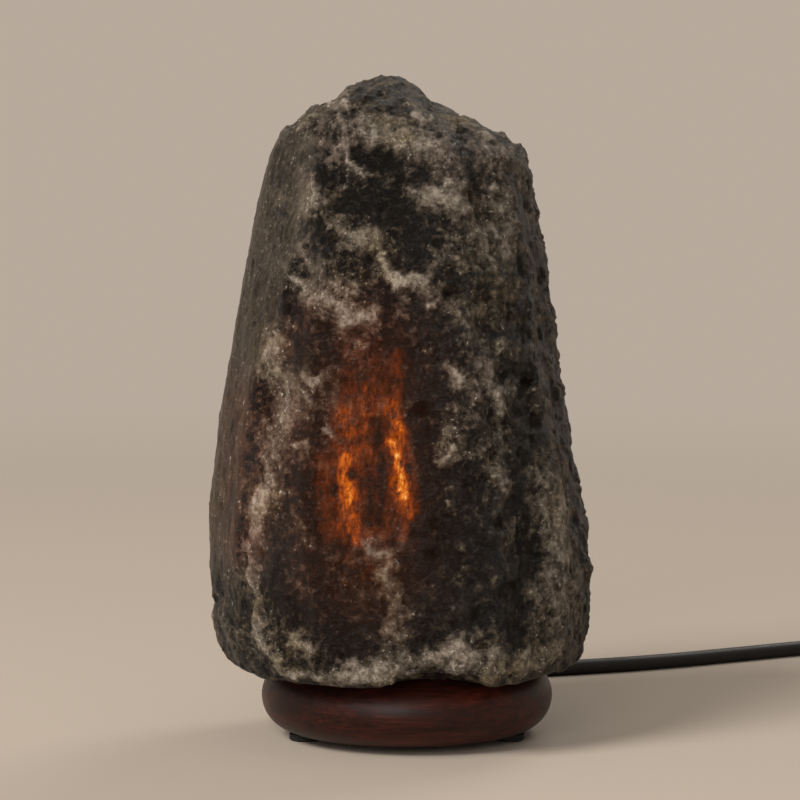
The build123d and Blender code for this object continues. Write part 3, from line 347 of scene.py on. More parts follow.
# clear dark salt, which takes crust away
DARK_PATCHES = (
    (-17, 216, -6, 214, 4.5, 0.7), (-30, 205, -8, 196, 5, 0.55), (-2, 200, 2, 186, 6, 0.75),
    (6, 176, 20, 168, 6, 0.6), (-40, 158, -30, 148, 5, 0.5), (-10, 148, 4, 152, 6, 0.5),
    (6, 150, 12, 124, 6, 0.6), (14, 96, 30, 56, 13, 0.8), (-46, 62, -22, 46, 9, 0.6),
    (40, 140, 48, 120, 6, 0.55), (2, 84, 8, 50, 6, 0.5), (20, 222, 26, 206, 4, 0.5),
    (-32, 98, -28, 82, 6, 0.6), (-40, 72, -14, 54, 9, 0.8), (18, 104, 40, 62, 9, 0.5),
    (-11, 120, -10, 86, 5, 0.9), (-20, 136, -6, 134, 6, 0.6),
)
# cracks and thin places where the bulb shines through, with how hot they look
GLOW_STREAKS = (
    (-21.5, 111, -22.3, 103, 2.8, 0.68), (-21.8, 103, -20.5, 94, 4.2, 0.66),
    (-20, 94, -18, 82, 4.8, 0.43), (-4.6, 115, -3.2, 107, 1.7, 0.92),
    (-3.2, 107, -0.9, 101, 1.6, 0.92), (-0.9, 101, -1.3, 96, 1.8, 0.86),
    (-6.5, 116, -5, 114, 1.6, 0.66), (-1.3, 95, 0.6, 90, 2.6, 0.46),
    (-3, 123, -2.4, 118, 1.8, 0.62), (-6, 129, -4, 117, 5.0, 0.37),
    (-4, 146, -4, 130, 3.6, 0.26), (-23, 127, -21, 119, 5.5, 0.36),
    (-4, 118, -1, 92, 5.5, 0.44), (-21, 112, -20, 86, 8.5, 0.36),
    (-29, 108, -27, 84, 6.0, 0.26), (-1, 88, -2, 82, 3.0, 0.26),
    (-15, 134, -12, 90, 13.0, 0.30), (-20, 150, -8, 142, 9.0, 0.17),
    (-16, 135, -16, 75, 26.0, 0.15),
)
# dark crumbs that lie over the glow
GLOW_CRUMBS = (
    (-19.8, 105, -19.8, 104, 1.7, 1.0), (-26, 99, -26, 98, 1.5, 0.9),
    (-16, 140, -15, 139, 1.8, 0.9), (-9, 110, -10, 88, 2.4, 0.7), (-14, 106, -13, 88, 2.8, 0.6),
    (0.2, 107.4, 0.2, 105.6, 1.2, 0.85), (-11, 123, -10.8, 116, 2.0, 0.7),
)
# painted light: clear salt, painted reddish brown where the bulb's light shows through it
BULB_TINT_PATCHES = (
    (-56, 125, -58, 80, 13, 0.75), (-38, 120, -34, 66, 12, 0.7), (-13, 150, -13, 80, 20, 1.0),
    (-42, 150, -36, 160, 8, 0.6), (-30, 60, -10, 56, 12, 0.45), (-30, 114, -28, 82, 9, 1.0),
)
print("rows:", len(CRUST_PATCHES), "crust,", len(DARK_PATCHES), "dark,", len(GLOW_STREAKS), "glow")

# %% [markdown]
# ### Noise over the points
# A few thousand strokes with a sculpting brush would give such a surface by hand. Here the
# same is done with numbers at every point: smooth noise gives swellings, its cell patterns
# give crystals and pits, and the strips of the tables are measured at the same points. One
# array holds one value for each point, so the kinds can be mixed by adding and multiplying.


# %% Measures over the salt's points
def read_points(mesh, attribute="co"):
    """Places or normals of a mesh's points, one row each."""
    values = np.empty(len(mesh.vertices) * 3, np.float32)
    mesh.vertices.foreach_get(attribute, values)
    return values.reshape(-1, 3).astype(float)


def smooth_step(low, high, value):
    """0 below low, 1 above high, and an even S between."""
    share = np.clip((value - low) / (high - low), 0, 1)
    return share * share * (3 - 2 * share)


def stretches(x, z, rows):
    """The strongest of a table's soft-edged strips at each point."""
    strongest = np.zeros(len(x))
    for x0, z0, x1, z1, half_width, strength in rows:
        run = np.array((x1 - x0, z1 - z0), float)
        along = np.clip(((x - x0) * run[0] + (z - z0) * run[1]) / (run @ run), 0, 1)
        gap = np.hypot(x - x0 - along * run[0], z - z0 - along * run[1])
        strongest = np.maximum(strongest, strength * np.exp(-((gap / half_width) ** 2)))
    return strongest


def lumps(places, size, octaves, stretch=(1, 1, 1)):
    """Smooth noise from -1 to 1 whose lumps are about size millimetres wide."""
    scaled = places / (size * np.array(stretch, float))
    return np.array([noise.fractal(Vector(p), 1.0, 2.0, octaves) for p in scaled])


def pits(places, spacing, shift):
    """0 at the middle of scattered pits and 1 far from them."""
    scaled = places / spacing + shift
    return np.array([noise.voronoi(Vector(p))[0][0] for p in scaled])


def crystals(places, size, shift):
    """Broken crystals about size millimetres wide, each with its own height and tilt, from
    about -1 to 1."""
    heights = np.empty(len(places))
    for index, point in enumerate(Vector(p) for p in places / size + shift):
        middle = noise.voronoi(point)[1][0]
        tilt = 2 * noise.cell_vector(middle * 9) - Vector((1, 1, 1))
        heights[index] = 0.6 * noise.cell(middle * 7) + 0.8 * tilt.dot(point - middle)
    return heights


# %% Where the salt may be reworked
# bands in millimetres over which the relief grows from nothing to its full height
BESIDE_BORE = (28, 33)          # from the axis; the bore's radius is 25
ABOVE_BORE = (169.5, 175.5)     # height; the bore's cone ends at 166.5
ABOVE_FOOT = (0.4, 3)           # over the flat foot
PAST_BASE = (56, 60)            # from the axis, where nothing is under the salt
SCREW_RADIUS, SCREW_REACH = 40, 28      # the screw plugs lie inside this, over the foot


def free_points(mesh):
    """1 where the salt may be reworked, 0 on its bore, its screw holes and its flat foot."""
    co = read_points(mesh) / MM
    radius = np.hypot(co[:, 0], co[:, 1])
    off_bore = np.maximum(smooth_step(*BESIDE_BORE, radius), smooth_step(*ABOVE_BORE, co[:, 2]))
    above_foot = smooth_step(salt_foot + ABOVE_FOOT[0], salt_foot + ABOVE_FOOT[1], co[:, 2])
    off_foot = np.maximum(above_foot, smooth_step(*PAST_BASE, radius))
    at_screws = (radius < SCREW_RADIUS) & (co[:, 2] < salt_foot + SCREW_REACH)
    return off_bore * off_foot * ~at_screws


free = free_points(salt.data)
print("free points", int((free > 0.5).sum()))

# %% Round the broken edges
ROUNDING_TURNS = 7

bm = bmesh.new()
bm.from_mesh(salt.data)
bm.verts.ensure_lookup_table()
soft = [bm.verts[i] for i in np.flatnonzero(free > 0.5)]
for _ in range(ROUNDING_TURNS):
    bmesh.ops.smooth_vert(
        bm, verts=soft, factor=0.5, use_axis_x=True, use_axis_y=True, use_axis_z=True
    )
bm.to_mesh(salt.data)
bm.free()
print("rounded", ROUNDING_TURNS, "times")

# %% Where crust and clear salt lie
noise.seed_set(4)           # without a seed, noise vectors differ from run to run
# width and reach in millimetres of the moves that bend the edges of the patches
WIDE_WARP, FINE_WARP = (8, 3), (3, 1.5)
CRUST_LEVEL, BROAD_SHARE, FINE_SHARE = 0.28, 0.40, 0.26
DARK_SHARE = 0.55           # of a dark patch's strength, taken from the crust
FRONT_QUIET = 0.35          # of the noise, left out on the front, where the tables decide
CRUST_TOP = 0.82            # the palest crust
# how much of a normal points to the front or the left where a zone begins and is full
FACES_FRONT, FACES_LEFT = (0.05, 0.45), (0.55, 0.85)
WORN_ABOVE = (50, 75)       # height in millimetres


def warp_at(place):
    """The move of one point, wide and fine together."""
    wide = noise.noise_vector(Vector(place / WIDE_WARP[0])) * WIDE_WARP[1]
    return wide + noise.noise_vector(Vector(place / FINE_WARP[0])) * FINE_WARP[1]


co = read_points(salt.data) / MM
facing = read_points(salt.data, "normal")
warp = np.array([warp_at(place) for place in co])
front = smooth_step(*FACES_FRONT, -facing[:, 1])
worn = smooth_step(*FACES_LEFT, -facing[:, 0]) * smooth_step(*WORN_ABOVE, co[:, 2])
x, z = co[:, 0] + warp[:, 0], co[:, 2] + warp[:, 2]
marked = stretches(x, z, CRUST_PATCHES) - DARK_SHARE * stretches(x, z, DARK_PATCHES)
crust = CRUST_LEVEL + BROAD_SHARE * lumps(co + warp, 17, 4) + FINE_SHARE * lumps(co, 5, 3)
crust = np.clip(crust * (1 - FRONT_QUIET * front) + front * marked, 0, CRUST_TOP)
print("mean crust", round(float(crust.mean()), 2))

# %% Where the bulb's light comes through
BULB_HEIGHT, BULB_REACH = 108, 32       # of its light on the salt, in millimetres
CRACK_WARP = 0.3            # cracks that glow run straighter than the crust does
CRUMB_SHADE = 0.85          # how much of the glow a dark crumb hides
THIN_PLACES = (0.1, 0.65)   # noise from where the sides and back let light through
# on the sides and back near the bulb: strength of the painted glow, and of the painted reddish
# tint of the bulb's light
SIDE_GLOW, SIDE_BULB_TINT = 0.13, 0.6

x, z = co[:, 0] + CRACK_WARP * warp[:, 0], co[:, 2] + CRACK_WARP * warp[:, 2]
shaded = 1 - CRUMB_SHADE * front * stretches(x, z, GLOW_CRUMBS)
near_bulb = (1 - front) * np.exp(-(((co[:, 2] - BULB_HEIGHT) / BULB_REACH) ** 2))
thin = smooth_step(*THIN_PLACES, lumps(co, 24, 2))
glow = front * stretches(x, z, GLOW_STREAKS) * shaded
glow = np.maximum(glow, SIDE_GLOW * thin * near_bulb * free)
# painted light: where the bulb's light tints the clear salt reddish brown
warm = np.clip(front * stretches(x, z, BULB_TINT_PATCHES) + SIDE_BULB_TINT * near_bulb, 0, 1)
print("hottest glow", round(float(glow.max()), 2))

# %% [markdown]
# ### Relief
# The block's surface has forms of every size: slow swellings, lumps, broken crystals of 4 to
# 9 mm, plates of crust that stand up from the clear salt, and two sizes of round pits. The
# left side is worn almost smooth, in long upright streaks. Displacing the points gives real
# form to the outline and the shadows, which bump in a material can't, and the material adds
# only what is finer than the net.

# %% Heights of the relief
# height and width in millimetres, and a shift that keeps like patterns apart
SWELLINGS = (0.6, 30, 0)
LUMPS = (0.9, 12, 40)
LARGE_CRYSTALS = (0.75, 8.5, 0.4)
SMALL_CRYSTALS = (0.40, 4.2, 5.1)
LARGE_PITS = (1.5, 14, 0.0)
SMALL_PITS = (0.8, 7, 3.7)
WORN_STREAKS = (0.5, 5, 0)
DRAWN_OUT = (1, 1, 9)       # streaks are this much longer than wide
PLATE_HEIGHT = 1.1          # how far crust stands up
PLATE_EDGE = (0.32, 0.56)   # values of crust over which a plate rises
WORN_AWAY = 0.75            # of all these forms, on the worn side
# the salt's underside past the base, by distance from the axis and height over the foot
HANGING, HANGING_TOP = (57, 62), 2
HANGING_LUMPS = (1.4, 14, 0)
print("deepest pit", LARGE_PITS[0], "mm, plates", PLATE_HEIGHT, "mm high")

# %% Move the points
rough = 1 - WORN_AWAY * worn


def raised(form, octaves, stretch=(1, 1, 1)):
    """Smooth noise of one form's height."""
    height, width, shift = form
    return height * lumps(co + shift, width, octaves, stretch)


def broken(form):
    """Crystals of one form's height."""
    height, width, shift = form
    return height * crystals(co, width, shift)


def sunk(form, bottom, rim):
    """Pits of one form's depth, with a flat bottom and a soft rim."""
    depth, width, shift = form
    return depth * (1 - smooth_step(bottom, rim, pits(co, width, shift)))


relief = raised(SWELLINGS, 2)
relief += rough * raised(LUMPS, 3)
relief += rough * (broken(LARGE_CRYSTALS) + broken(SMALL_CRYSTALS))
relief += worn * raised(WORN_STREAKS, 2, DRAWN_OUT)
relief += rough * PLATE_HEIGHT * smooth_step(*PLATE_EDGE, crust)
relief -= rough * (sunk(LARGE_PITS, 0.10, 0.30) + sunk(SMALL_PITS, 0.08, 0.28))
overhang = smooth_step(*HANGING, np.hypot(co[:, 0], co[:, 1]))
overhang *= co[:, 2] < salt_foot + HANGING_TOP
moved = co + facing * (relief * free * (1 - overhang))[:, None]
moved[:, 2] += overhang * raised(HANGING_LUMPS, 2)
salt.data.vertices.foreach_set("co", (moved * MM).astype(np.float32).ravel())
for name, values in {"crust": crust, "glow": glow, "warm": warm, "worn": worn}.items():
    attribute = salt.data.attributes.new(name, "FLOAT", "POINT")
    attribute.data.foreach_set("value", values.astype(np.float32))
salt.data.shade_smooth()
salt.data.update()
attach(salt, "lamp")
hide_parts("salt_crystal")
print("salt box", [round(v, 4) for v in (*moved.min(0) * MM, *moved.max(0) * MM)])

# %% [markdown]
# ### Rock salt
# Halite is a clear glassy mineral, here grey to black with clay and old fluid, so the dark
# parts are smooth enough to glint while the re-grown crust is matt and pale. The crust, the
# clear zones painted reddish brown by the bulb's light and the glow follow values that the
# mesh carries at its points, and noise breaks their edges into crumbs of a few millimetres.
# Each crumb has a tone of its own, as broken crystals have, and on some a bright glint is
# painted into the colour. The worn left side has long upright streaks instead. Where the bulb
# stands close behind, the salt gives off orange light of its own, brightest in two upright
# cracks. Light that really passes through the block would need a slow volume, which the
# exported model would lose.

# %% How pale the salt is
tree, shader, place = new_finish(
    "rock_salt", "rock_salt_halite", {"IOR": 1.544, "Specular IOR Level": 0.22}
)
point_values = {
    name: add(tree, "ShaderNodeAttribute", attribute_name=name).outputs["Fac"]
    for name in ("crust", "glow", "warm", "worn")
}
crumbs = add(
    tree,
    "ShaderNodeTexNoise",
    {"Vector": place, "Scale": per_metre(3.0), "Detail": 8, "Roughness": 0.72},
)
clouds = add(
    tree,
    "ShaderNodeTexNoise",
    {"Vector": place, "Scale": per_metre(10), "Detail": 6, "Roughness": 0.62},
)
grains = add(tree, "ShaderNodeTexVoronoi", {"Vector": place, "Scale": per_metre(1.5)})
# each pattern varies about zero and is added with its own share
paleness = point_values["crust"]
for source, share in (
    (crumbs.outputs["Fac"], 2.2),
    (clouds.outputs["Fac"], 1.0),
    (grains.outputs["Color"], 0.26),
):
    spread = add(
        tree, "ShaderNodeMath", {0: source, 1: share, 2: -share / 2}, operation="MULTIPLY_ADD"
    )
    paleness = add(
        tree, "ShaderNodeMath", {0: spread.outputs[0], 1: paleness}, operation="ADD"
    ).outputs[0]
print("paleness made from", len(tree.nodes), "nodes")

# %% The worn side
DRAWN_UPRIGHT = (1, 1, 0.07)        # a pattern that changes slowly with height
STREAK_CONTRAST, STREAK_LEVEL = 0.9, -0.22
STREAK_SHARE = 0.7                  # of the worn side's paleness, the rest is crust
streak_place = add(tree, "ShaderNodeMapping", {"Vector": place, "Scale": DRAWN_UPRIGHT})
streaks = add(
    tree,
    "ShaderNodeTexNoise",
    {"Vector": streak_place.outputs[0], "Scale": per_metre(2.4), "Detail": 6, "Roughness": 0.7},
)
upright = add(
    tree,
    "ShaderNodeMath",
    {0: streaks.outputs["Fac"], 1: STREAK_CONTRAST, 2: STREAK_LEVEL},
    operation="MULTIPLY_ADD",
)
worn_share = add(
    tree, "ShaderNodeMath", {0: point_values["worn"], 1: STREAK_SHARE}, operation="MULTIPLY"
)
paleness = add(
    tree,
    "ShaderNodeMix",
    {"Factor": worn_share.outputs[0], "A": paleness, "B": upright.outputs[0]},
).outputs[0]
print("with streaks", len(tree.nodes), "nodes")

# %% Colour of the salt, from clear and dark to crusted and pale
grey_skin = add(
    tree,
    "ShaderNodeValToRGB",
    {"Fac": paleness},
    stops=[
        (0.0, "#0A0705"), (0.12, "#1E1811"), (0.28, "#393127"),
        (0.50, "#5F5548"), (0.76, "#877C6E"), (1.0, "#B0A596"),
    ],
)
# the same tones painted reddish brown by the bulb's light
bulb_lit_skin = add(
    tree,
    "ShaderNodeValToRGB",
    {"Fac": paleness},
    stops=[
        (0.0, "#160804"), (0.12, "#2D150B"), (0.28, "#472719"),
        (0.50, "#674A3A"), (0.76, "#8D7566"), (1.0, "#B3A292"),
    ],
)
skin = add(
    tree,
    "ShaderNodeMix",
    {
        "Factor": point_values["warm"],
        COLOUR_A: grey_skin.outputs["Color"],
        COLOUR_B: bulb_lit_skin.outputs["Color"],
    },
    data_type="RGBA",
)
hues = add(tree, "ShaderNodeTexNoise", {"Vector": place, "Scale": per_metre(22), "Detail": 3})
hue = add(
    tree,
    "ShaderNodeValToRGB",
    {"Fac": hues.outputs["Fac"]},
    stops=[(0.35, "#EFE8D6"), (0.5, "#FFFFFF"), (0.65, "#F5EDF0")],
)
skin = add(
    tree,
    "ShaderNodeMix",
    {"Factor": 1.0, COLOUR_A: skin.outputs[COLOUR_OUT], COLOUR_B: hue.outputs["Color"]},
    data_type="RGBA",
    blend_type="MULTIPLY",
)
print("coloured with", len(tree.nodes), "nodes")

# %% Painted glints, shade and gloss of the salt
# painted glints: here and there a few crumbs are painted pale, as if they lay at the angle that
# sends light back
glints = add(
    tree,
    "ShaderNodeTexNoise",
    {"Vector": place, "Scale": per_metre(1.4), "Detail": 3, "Roughness": 0.75},
)
glint = add(
    tree,
    "ShaderNodeMapRange",
    {"Value": glints.outputs["Fac"], "From Min": 0.60, "From Max": 0.70},
)
cluster = add(
    tree,
    "ShaderNodeMapRange",
    {"Value": paleness, "From Min": 0.10, "From Max": 0.45, "To Max": 0.9},
)
painted_glint = add(
    tree, "ShaderNodeMath", {0: glint.outputs[0], 1: cluster.outputs[0]}, operation="MULTIPLY"
)
# glowing salt is clear, so it has little colour of its own
shade = add(
    tree,
    "ShaderNodeMapRange",
    {"Value": point_values["glow"], "From Min": 0.05, "From Max": 0.4, "To Max": 0.85},
)
# the painted glints in a pale colour, then the dark colour of glowing salt, are mixed into the
# skin
for share, hex_value in ((painted_glint, "#C4BBAD"), (shade, "#140904")):
    skin = add(
        tree,
        "ShaderNodeMix",
        {
            "Factor": share.outputs[0],
            COLOUR_A: skin.outputs[COLOUR_OUT],
            COLOUR_B: colour(hex_value),
        },
        data_type="RGBA",
    )
gloss = add(
    tree,
    "ShaderNodeMapRange",
    {"Value": paleness, "From Min": 0.1, "From Max": 0.6, "To Min": 0.3, "To Max": 0.7},
)
feed(tree, shader, {"Base Color": skin.outputs[COLOUR_OUT], "Roughness": gloss.outputs[0]})
print("skin made from", len(tree.nodes), "nodes")

# %% Glow of the salt
CRACK_RUN = (1, 1, 0.4)             # cracks run more up than across
CRACKLE_CONTRAST, CRACKLE_LEVEL = 3.2, -0.70
cracks = add(tree, "ShaderNodeMapping", {"Vector": place, "Scale": CRACK_RUN})
crackle = add(
    tree,
    "ShaderNodeTexNoise",
    {"Vector": cracks.outputs[0], "Scale": per_metre(1.8), "Detail": 6, "Roughness": 0.75},
)
heat = add(
    tree,
    "ShaderNodeMath",
    {0: crackle.outputs["Fac"], 1: CRACKLE_CONTRAST, 2: CRACKLE_LEVEL},
    operation="MULTIPLY_ADD",
)
heat = add(
    tree,
    "ShaderNodeMath",
    {0: heat.outputs[0], 1: point_values["glow"]},
    operation="MULTIPLY",
    use_clamp=True,
)
fire = add(
    tree,
    "ShaderNodeValToRGB",
    {"Fac": heat.outputs[0]},
    stops=[
        (0.0, "#000000"), (0.12, "#1E0900"), (0.28, "#562002"), (0.46, "#9E4205"),
        (0.66, "#D0680F"), (0.85, "#EE9238"), (1.0, "#FDC983"),
    ],
)
shader.inputs["Emission Strength"].default_value = 1.0
feed(tree, shader, {"Emission Color": fire.outputs["Color"]})
print("glow made from", len(tree.nodes), "nodes")

# %% Fine relief of the salt, each bump on top of the one before
grit = add(
    tree,
    "ShaderNodeTexNoise",
    {"Vector": place, "Scale": per_metre(0.9), "Detail": 3, "Roughness": 0.6},
)
relief_share = add(
    tree, "ShaderNodeMapRange", {"Value": point_values["worn"], "To Min": 0.9, "To Max": 0.35}
)
coarse = add(
    tree,
    "ShaderNodeBump",
    {"Height": paleness, "Strength": relief_share.outputs[0], "Distance": 1.7 * MM},
)
chipped = add(
    tree,
    "ShaderNodeBump",
    {
        "Height": grains.outputs["Color"],
        "Strength": 0.8,
        "Distance": 0.7 * MM,
        "Normal": coarse.outputs["Normal"],
    },
)
gritty = add(
    tree,
    "ShaderNodeBump",
    {
        "Height": grit.outputs["Fac"],
        "Strength": 0.6,
        "Distance": 0.35 * MM,
        "Normal": chipped.outputs["Normal"],
    },
)
feed(tree, shader, {"Normal": gritty.outputs["Normal"]})
print("rock salt nodes", len(tree.nodes))

# %% [markdown]
# ### Stained wood
# The base was turned from a hardwood board, stained dark red-brown and given a satin varnish.
# The board's grain runs across the lamp, so long fibres show as fine level streaks at the
# front and as dots at both ends. A photograph of wood would stretch round the rim. Noise drawn
# out along X is solid, like the wood itself, and gives both looks at once.

# %% Stained hardwood
FIBRE_RUN = (0.035, 0.6, 1.0)       # long along the board, a little wide across it
BAND_RUN = (0.08, 0.5, 1.0)         # the board's yearly bands
FIBRE_SHARE, BAND_SHARE = 0.55, 0.5
tree, shader, place = new_finish(
    "stained_wood",
    "stained_hardwood",
    {"IOR": 1.5, "Specular IOR Level": 0.22, "Coat Weight": 0.05, "Coat Roughness": 0.3},
)
fibre_place = add(tree, "ShaderNodeMapping", {"Vector": place, "Scale": FIBRE_RUN})
fibres = add(
    tree,
    "ShaderNodeTexNoise",
    {"Vector": fibre_place.outputs[0], "Scale": per_metre(1.1), "Detail": 5, "Roughness": 0.65},
)
band_place = add(tree, "ShaderNodeMapping", {"Vector": place, "Scale": BAND_RUN})
bands = add(
    tree,
    "ShaderNodeTexNoise",
    {"Vector": band_place.outputs[0], "Scale": per_metre(7), "Detail": 3, "Distortion": 0.6},
)
streak = add(
    tree, "ShaderNodeMath", {0: fibres.outputs["Fac"], 1: FIBRE_SHARE}, operation="MULTIPLY"
)
streak = add(
    tree,
    "ShaderNodeMath",
    {0: bands.outputs["Fac"], 1: BAND_SHARE, 2: streak.outputs[0]},
    operation="MULTIPLY_ADD",
)
grain = add(
    tree,
    "ShaderNodeValToRGB",
    {"Fac": streak.outputs[0]},
    stops=[(0.36, "#0F0503"), (0.5, "#260D07"), (0.6, "#3A150B"), (0.72, "#502213")],
)
satin = add(
    tree,
    "ShaderNodeMapRange",
    {"Value": fibres.outputs["Fac"], **NOISE_SPAN, "To Min": 0.36, "To Max": 0.52},
)
pores = add(
    tree,
    "ShaderNodeBump",
    {"Height": fibres.outputs["Fac"], "Strength": 0.35, "Distance": 0.2 * MM},
)
feed(
    tree,
    shader,
    {
        "Base Color": grain.outputs["Color"],
        "Roughness": satin.outputs[0],
        "Normal": pores.outputs["Normal"],
    },
)
print("wood nodes", len(tree.nodes))

# %% [markdown]
# ### Plastics, rubber and glass
# The flex, reliefs and plug are soft PVC, the holder a moulded thermoplastic, the switch a
# glossier one, and the feet are rubber. Each could have a tree of its own, but they differ in
# colour, gloss and grain only, so one table of those and one recipe serve them all. Real
# moulded grain is some tenths of a millimetre wide, too fine to show, so it is drawn as coarse
# as the table says.

# %% Moulded and extruded materials
# name: colour, roughness, grain width in mm, grain depth in mm
MOULDED = {
    # extruded and moulded soft PVC, satin with a faint mottle
    "black_pvc": ("#080808", 0.52, 1.8, 0.04),
    # stamped rubber sheet, matt
    "black_rubber": ("#121110", 0.75, 1.2, 0.08),
    # injection moulded in a spark-eroded mould, which gives an even dull grain
    "black_thermoplastic": ("#141414", 0.50, 0.8, 0.05),
    # moulded ABS of the switch's halves, with a soft shine
    "switch_plastic": ("#101011", 0.30, 0.9, 0.03),
    # ABS polished by fingers, glossier still
    "rocker_plastic": ("#1A1A1B", 0.26, 2.2, 0.02),
    # moulded nylon, slightly waxy
    "grey_nylon": ("#5B5B5E", 0.48, 1.5, 0.05),
    # pressed and fired without a glaze
    "porcelain": ("#D8D2C6", 0.42, 2.5, 0.05),
    # melted into the bulb's cap, smooth
    "black_glass": ("#0A0A0D", 0.12, 2.0, 0.02),
}
PALER = 1.5                 # the pale side of the mottle, times the colour
for slot_name, (hex_value, roughness, grain_width, grain_depth) in MOULDED.items():
    tree, shader, place = new_finish(slot_name, slot_name, {"Specular IOR Level": 0.35})
    mottle = add(
        tree,
        "ShaderNodeTexNoise",
        {"Vector": place, "Scale": per_metre(grain_width), "Detail": 3},
    ).outputs["Fac"]
    skin = add(
        tree,
        "ShaderNodeMix",
        {
            "Factor": mottle,
            COLOUR_A: colour(hex_value),
            COLOUR_B: [min(1, PALER * c) for c in colour(hex_value)],
        },
        data_type="RGBA",
    )
    matt = add(
        tree,
        "ShaderNodeMapRange",
        {
            "Value": mottle,
            **NOISE_SPAN,
            "To Min": roughness * 0.85,
            "To Max": roughness * 1.15,
        },
    )
    bump = add(
        tree,
        "ShaderNodeBump",
        {"Height": mottle, "Strength": 0.5, "Distance": grain_depth * MM},
    )
    feed(
        tree,
        shader,
        {
            "Base Color": skin.outputs[COLOUR_OUT],
            "Roughness": matt.outputs[0],
            "Normal": bump.outputs["Normal"],
        },
    )
print("moulded finishes", len(MOULDED))

# %% [markdown]
# ### Metals
# Most of these lie inside the lamp, but each must look right when its cover is taken off. A
# metal's colour is its reflection, so they differ in that and in how fine their rolled or
# plated surface is. A noise in the roughness alone is enough, because bump would make thin
# plated sheet look cast.

# %% Metals
ROLLED_RUN = (1, 1, 0.12)           # marks drawn out upright
# name: colour, roughness, width in mm of the marks
METALS = {
    # screws and saddle, zinc plated, cool and dull bright
    "zinc_steel": ("#B9BCC0", 0.32, 1.2),
    # stamped contacts and the pressed thread
    "brass": ("#C9A45C", 0.28, 1.0),
    # the clip's rolled and hardened strip
    "spring_steel": ("#8F9296", 0.30, 0.8),
    # a drop that set on the bulb's contact, dull
    "solder": ("#A5A6A8", 0.45, 0.9),
    # the plug's pins, the bulb's cap and its lead wires, nickel plated, warm and bright
    "nickel_brass": ("#CFCCC4", 0.20, 1.4),
}
for slot_name, (hex_value, roughness, mark_width) in METALS.items():
    tree, shader, place = new_finish(
        slot_name, slot_name, {"Metallic": 1.0, "Base Color": colour(hex_value)}
    )
    rolled = add(tree, "ShaderNodeMapping", {"Vector": place, "Scale": ROLLED_RUN})
    marks = add(
        tree,
        "ShaderNodeTexNoise",
        {"Vector": rolled.outputs[0], "Scale": per_metre(mark_width), "Detail": 4},
    )
    polish = add(
        tree,
        "ShaderNodeMapRange",
        {
            "Value": marks.outputs["Fac"],
            **NOISE_SPAN,
            "To Min": roughness * 0.7,
            "To Max": roughness * 1.4,
        },
    )
    feed(tree, shader, {"Roughness": polish.outputs[0]})
print("metals", len(METALS))

# %% [markdown]
# ### The bulb
# The bulb is a blown candle of clear glass round a coil that glows. Glass is a Principled
# shader that lets the light through, with a faint waviness from blowing in its roughness. The
# filament gives off its own warm light, brighter on the turns of its coil than between them.

# %% Glass and filament
tree, shader, place = new_finish(
    "clear_glass",
    "clear_glass",
    {"IOR": 1.5, "Transmission Weight": 1.0, "Base Color": colour("#FBF7F0")},
)
waves = add(tree, "ShaderNodeTexNoise", {"Vector": place, "Scale": per_metre(12), "Detail": 1})
smooth = add(
    tree, "ShaderNodeMapRange", {"Value": waves.outputs["Fac"], "To Min": 0.01, "To Max": 0.05}
)
feed(tree, shader, {"Roughness": smooth.outputs[0]})

tree, shader, place = new_finish("hot_tungsten", "hot_tungsten", {"Emission Strength": 4.0})
coiled = add(
    tree, "ShaderNodeTexWave", {"Vector": place, "Scale": per_metre(3)}, bands_direction="X"
)
glare = add(
    tree,
    "ShaderNodeValToRGB",
    {"Fac": coiled.outputs["Fac"]},
    stops=[(0.0, "#FF8A2E"), (1.0, "#FFD9A0")],
)
feed(tree, shader, {"Emission Color": glare.outputs["Color"]})
print("finishes in all", len(finishes))

# %% [markdown]
# ## Dressing the pieces
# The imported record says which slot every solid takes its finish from, so one loop dresses
# them all. The pieces made here are given theirs by hand.

# %% Finish every piece
slots = {part["node"]: part["material_slot"] for part in frame["record"]["subparts"]}
for name, piece in nodes.items():
    wear(piece, finishes[slots[name]])
wear(salt, finishes["rock_salt"])
for piece in (cord_to_switch, cord_to_plug):
    wear(piece, finishes["black_pvc"])
print("finished", len(nodes), "packed pieces and 3 new ones")

# %% [markdown]
# ## Floor, background and light
# The floor is one plain pale disc. Far out it turns into the background's own colour, so that
# no horizon shows behind the lamp, and the world shows the same colour to the camera, to gloss
# and through glass. A curved backdrop would do this as well, but only from one side. Three
# large soft lamps, the strongest at the upper left, bring out the rock's relief without hard
# shadows, at a level at which a colour renders about as it is written.

# %% Floor
BACKGROUND = "#B7AA9C"
FLOOR_RADIUS = 6.0          # metres
HAZE = (0.3, 1.9)           # metres from the lamp over which the floor fades

floor_mesh = bpy.data.meshes.new("floor")
bm = bmesh.new()
bmesh.ops.create_circle(bm, cap_ends=True, segments=96, radius=FLOOR_RADIUS)
bm.to_mesh(floor_mesh)
bm.free()
floor = bpy.data.objects.new("floor", floor_mesh)
bpy.context.scene.collection.objects.link(floor)


def seen_plainly(tree):
    """1 for rays from the camera and those that gloss or glass sends on, 0 for light."""
    ray = add(tree, "ShaderNodeLightPath").outputs
    seen = ray["Is Camera Ray"]
    for kind in ("Is Glossy Ray", "Is Transmission Ray"):
        both = add(tree, "ShaderNodeMath", {0: seen, 1: ray[kind]}, operation="MAXIMUM")
        seen = both.outputs[0]
    return seen


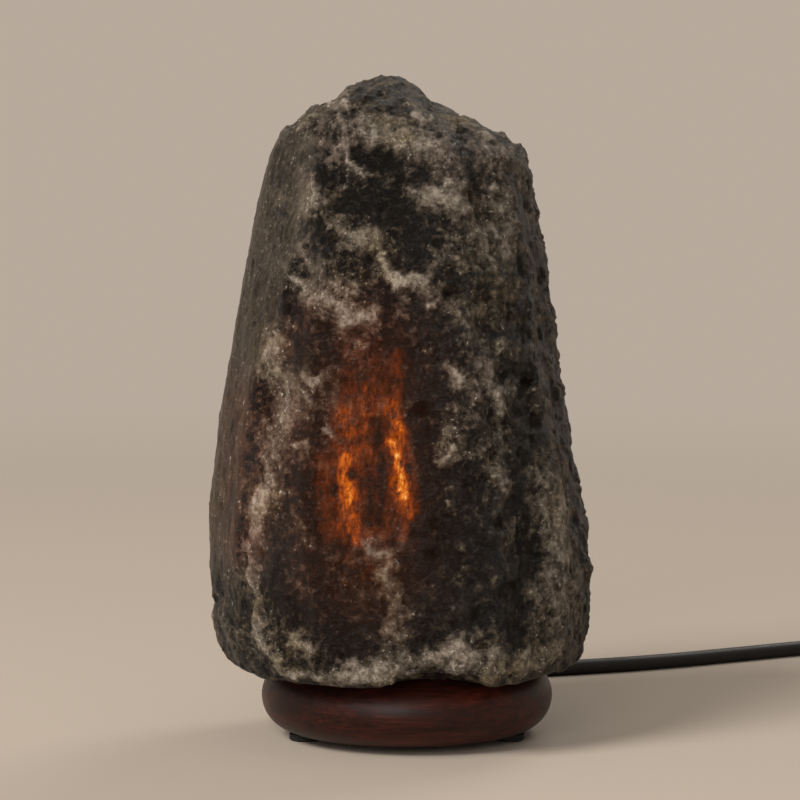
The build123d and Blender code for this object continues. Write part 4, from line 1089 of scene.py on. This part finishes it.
paper = bpy.data.materials.new("pale_paper")
paper.use_nodes = True
tree = paper.node_tree
tree.nodes.clear()
place = add(tree, "ShaderNodeTexCoord").outputs["Object"]
away = add(tree, "ShaderNodeVectorMath", {"Vector": place}, operation="LENGTH").outputs["Value"]
far = add(
    tree,
    "ShaderNodeMapRange",
    {"Value": away, "From Min": HAZE[0], "From Max": HAZE[1]},
    interpolation_type="SMOOTHSTEP",
)
share = add(
    tree, "ShaderNodeMath", {0: seen_plainly(tree), 1: far.outputs[0]}, operation="MULTIPLY"
)
matt = add(tree, "ShaderNodeBsdfDiffuse", {"Color": colour(BACKGROUND)})
haze = add(tree, "ShaderNodeEmission", {"Color": colour(BACKGROUND), "Strength": 1.0})
mixed = add(
    tree, "ShaderNodeMixShader", {0: share.outputs[0], 1: matt.outputs[0], 2: haze.outputs[0]}
)
add(tree, "ShaderNodeOutputMaterial", {"Surface": mixed.outputs[0]})
wear(floor, paper)
print("floor", 2 * FLOOR_RADIUS, "m across, coloured", BACKGROUND)

# %% World
world = bpy.data.worlds.new("studio")
bpy.context.scene.world = world
world.use_nodes = True
tree = world.node_tree
tree.nodes.clear()
dim = add(tree, "ShaderNodeBackground", {"Color": colour("#E6E0DA"), "Strength": 0.35})
plain = add(tree, "ShaderNodeBackground", {"Color": colour(BACKGROUND), "Strength": 1.0})
mixed = add(
    tree, "ShaderNodeMixShader", {0: seen_plainly(tree), 1: dim.outputs[0], 2: plain.outputs[0]}
)
add(tree, "ShaderNodeOutputWorld", {"Surface": mixed.outputs[0]})
print("world nodes", len(tree.nodes))

# %% Lamps
# name: place, size in metres, watts, colour
SOFT_LAMPS = {
    "key": ((-2.0, -1.8, 2.4), 1.6, 118, "#FFFCF8"),
    "fill": ((-0.6, -2.6, 0.9), 1.6, 26, "#FFFDFA"),
    "back": ((1.6, 2.2, 2.8), 1.8, 40, "#FFFCF8"),
}
LAMP_AIM = Vector((0, 0, 0.12))
for name, (place, size, watts, hex_value) in SOFT_LAMPS.items():
    light = bpy.data.lights.new(name, "AREA")
    light.shape = "DISK"
    light.size = size
    light.energy = watts
    light.color = colour(hex_value)[:3]
    lamp = bpy.data.objects.new(name, light)
    lamp.location = place
    lamp.rotation_euler = (LAMP_AIM - Vector(place)).to_track_quat("-Z", "Y").to_euler()
    bpy.context.scene.collection.objects.link(lamp)
bpy.context.scene.view_settings.view_transform = "Standard"
print("lamps", len(SOFT_LAMPS))
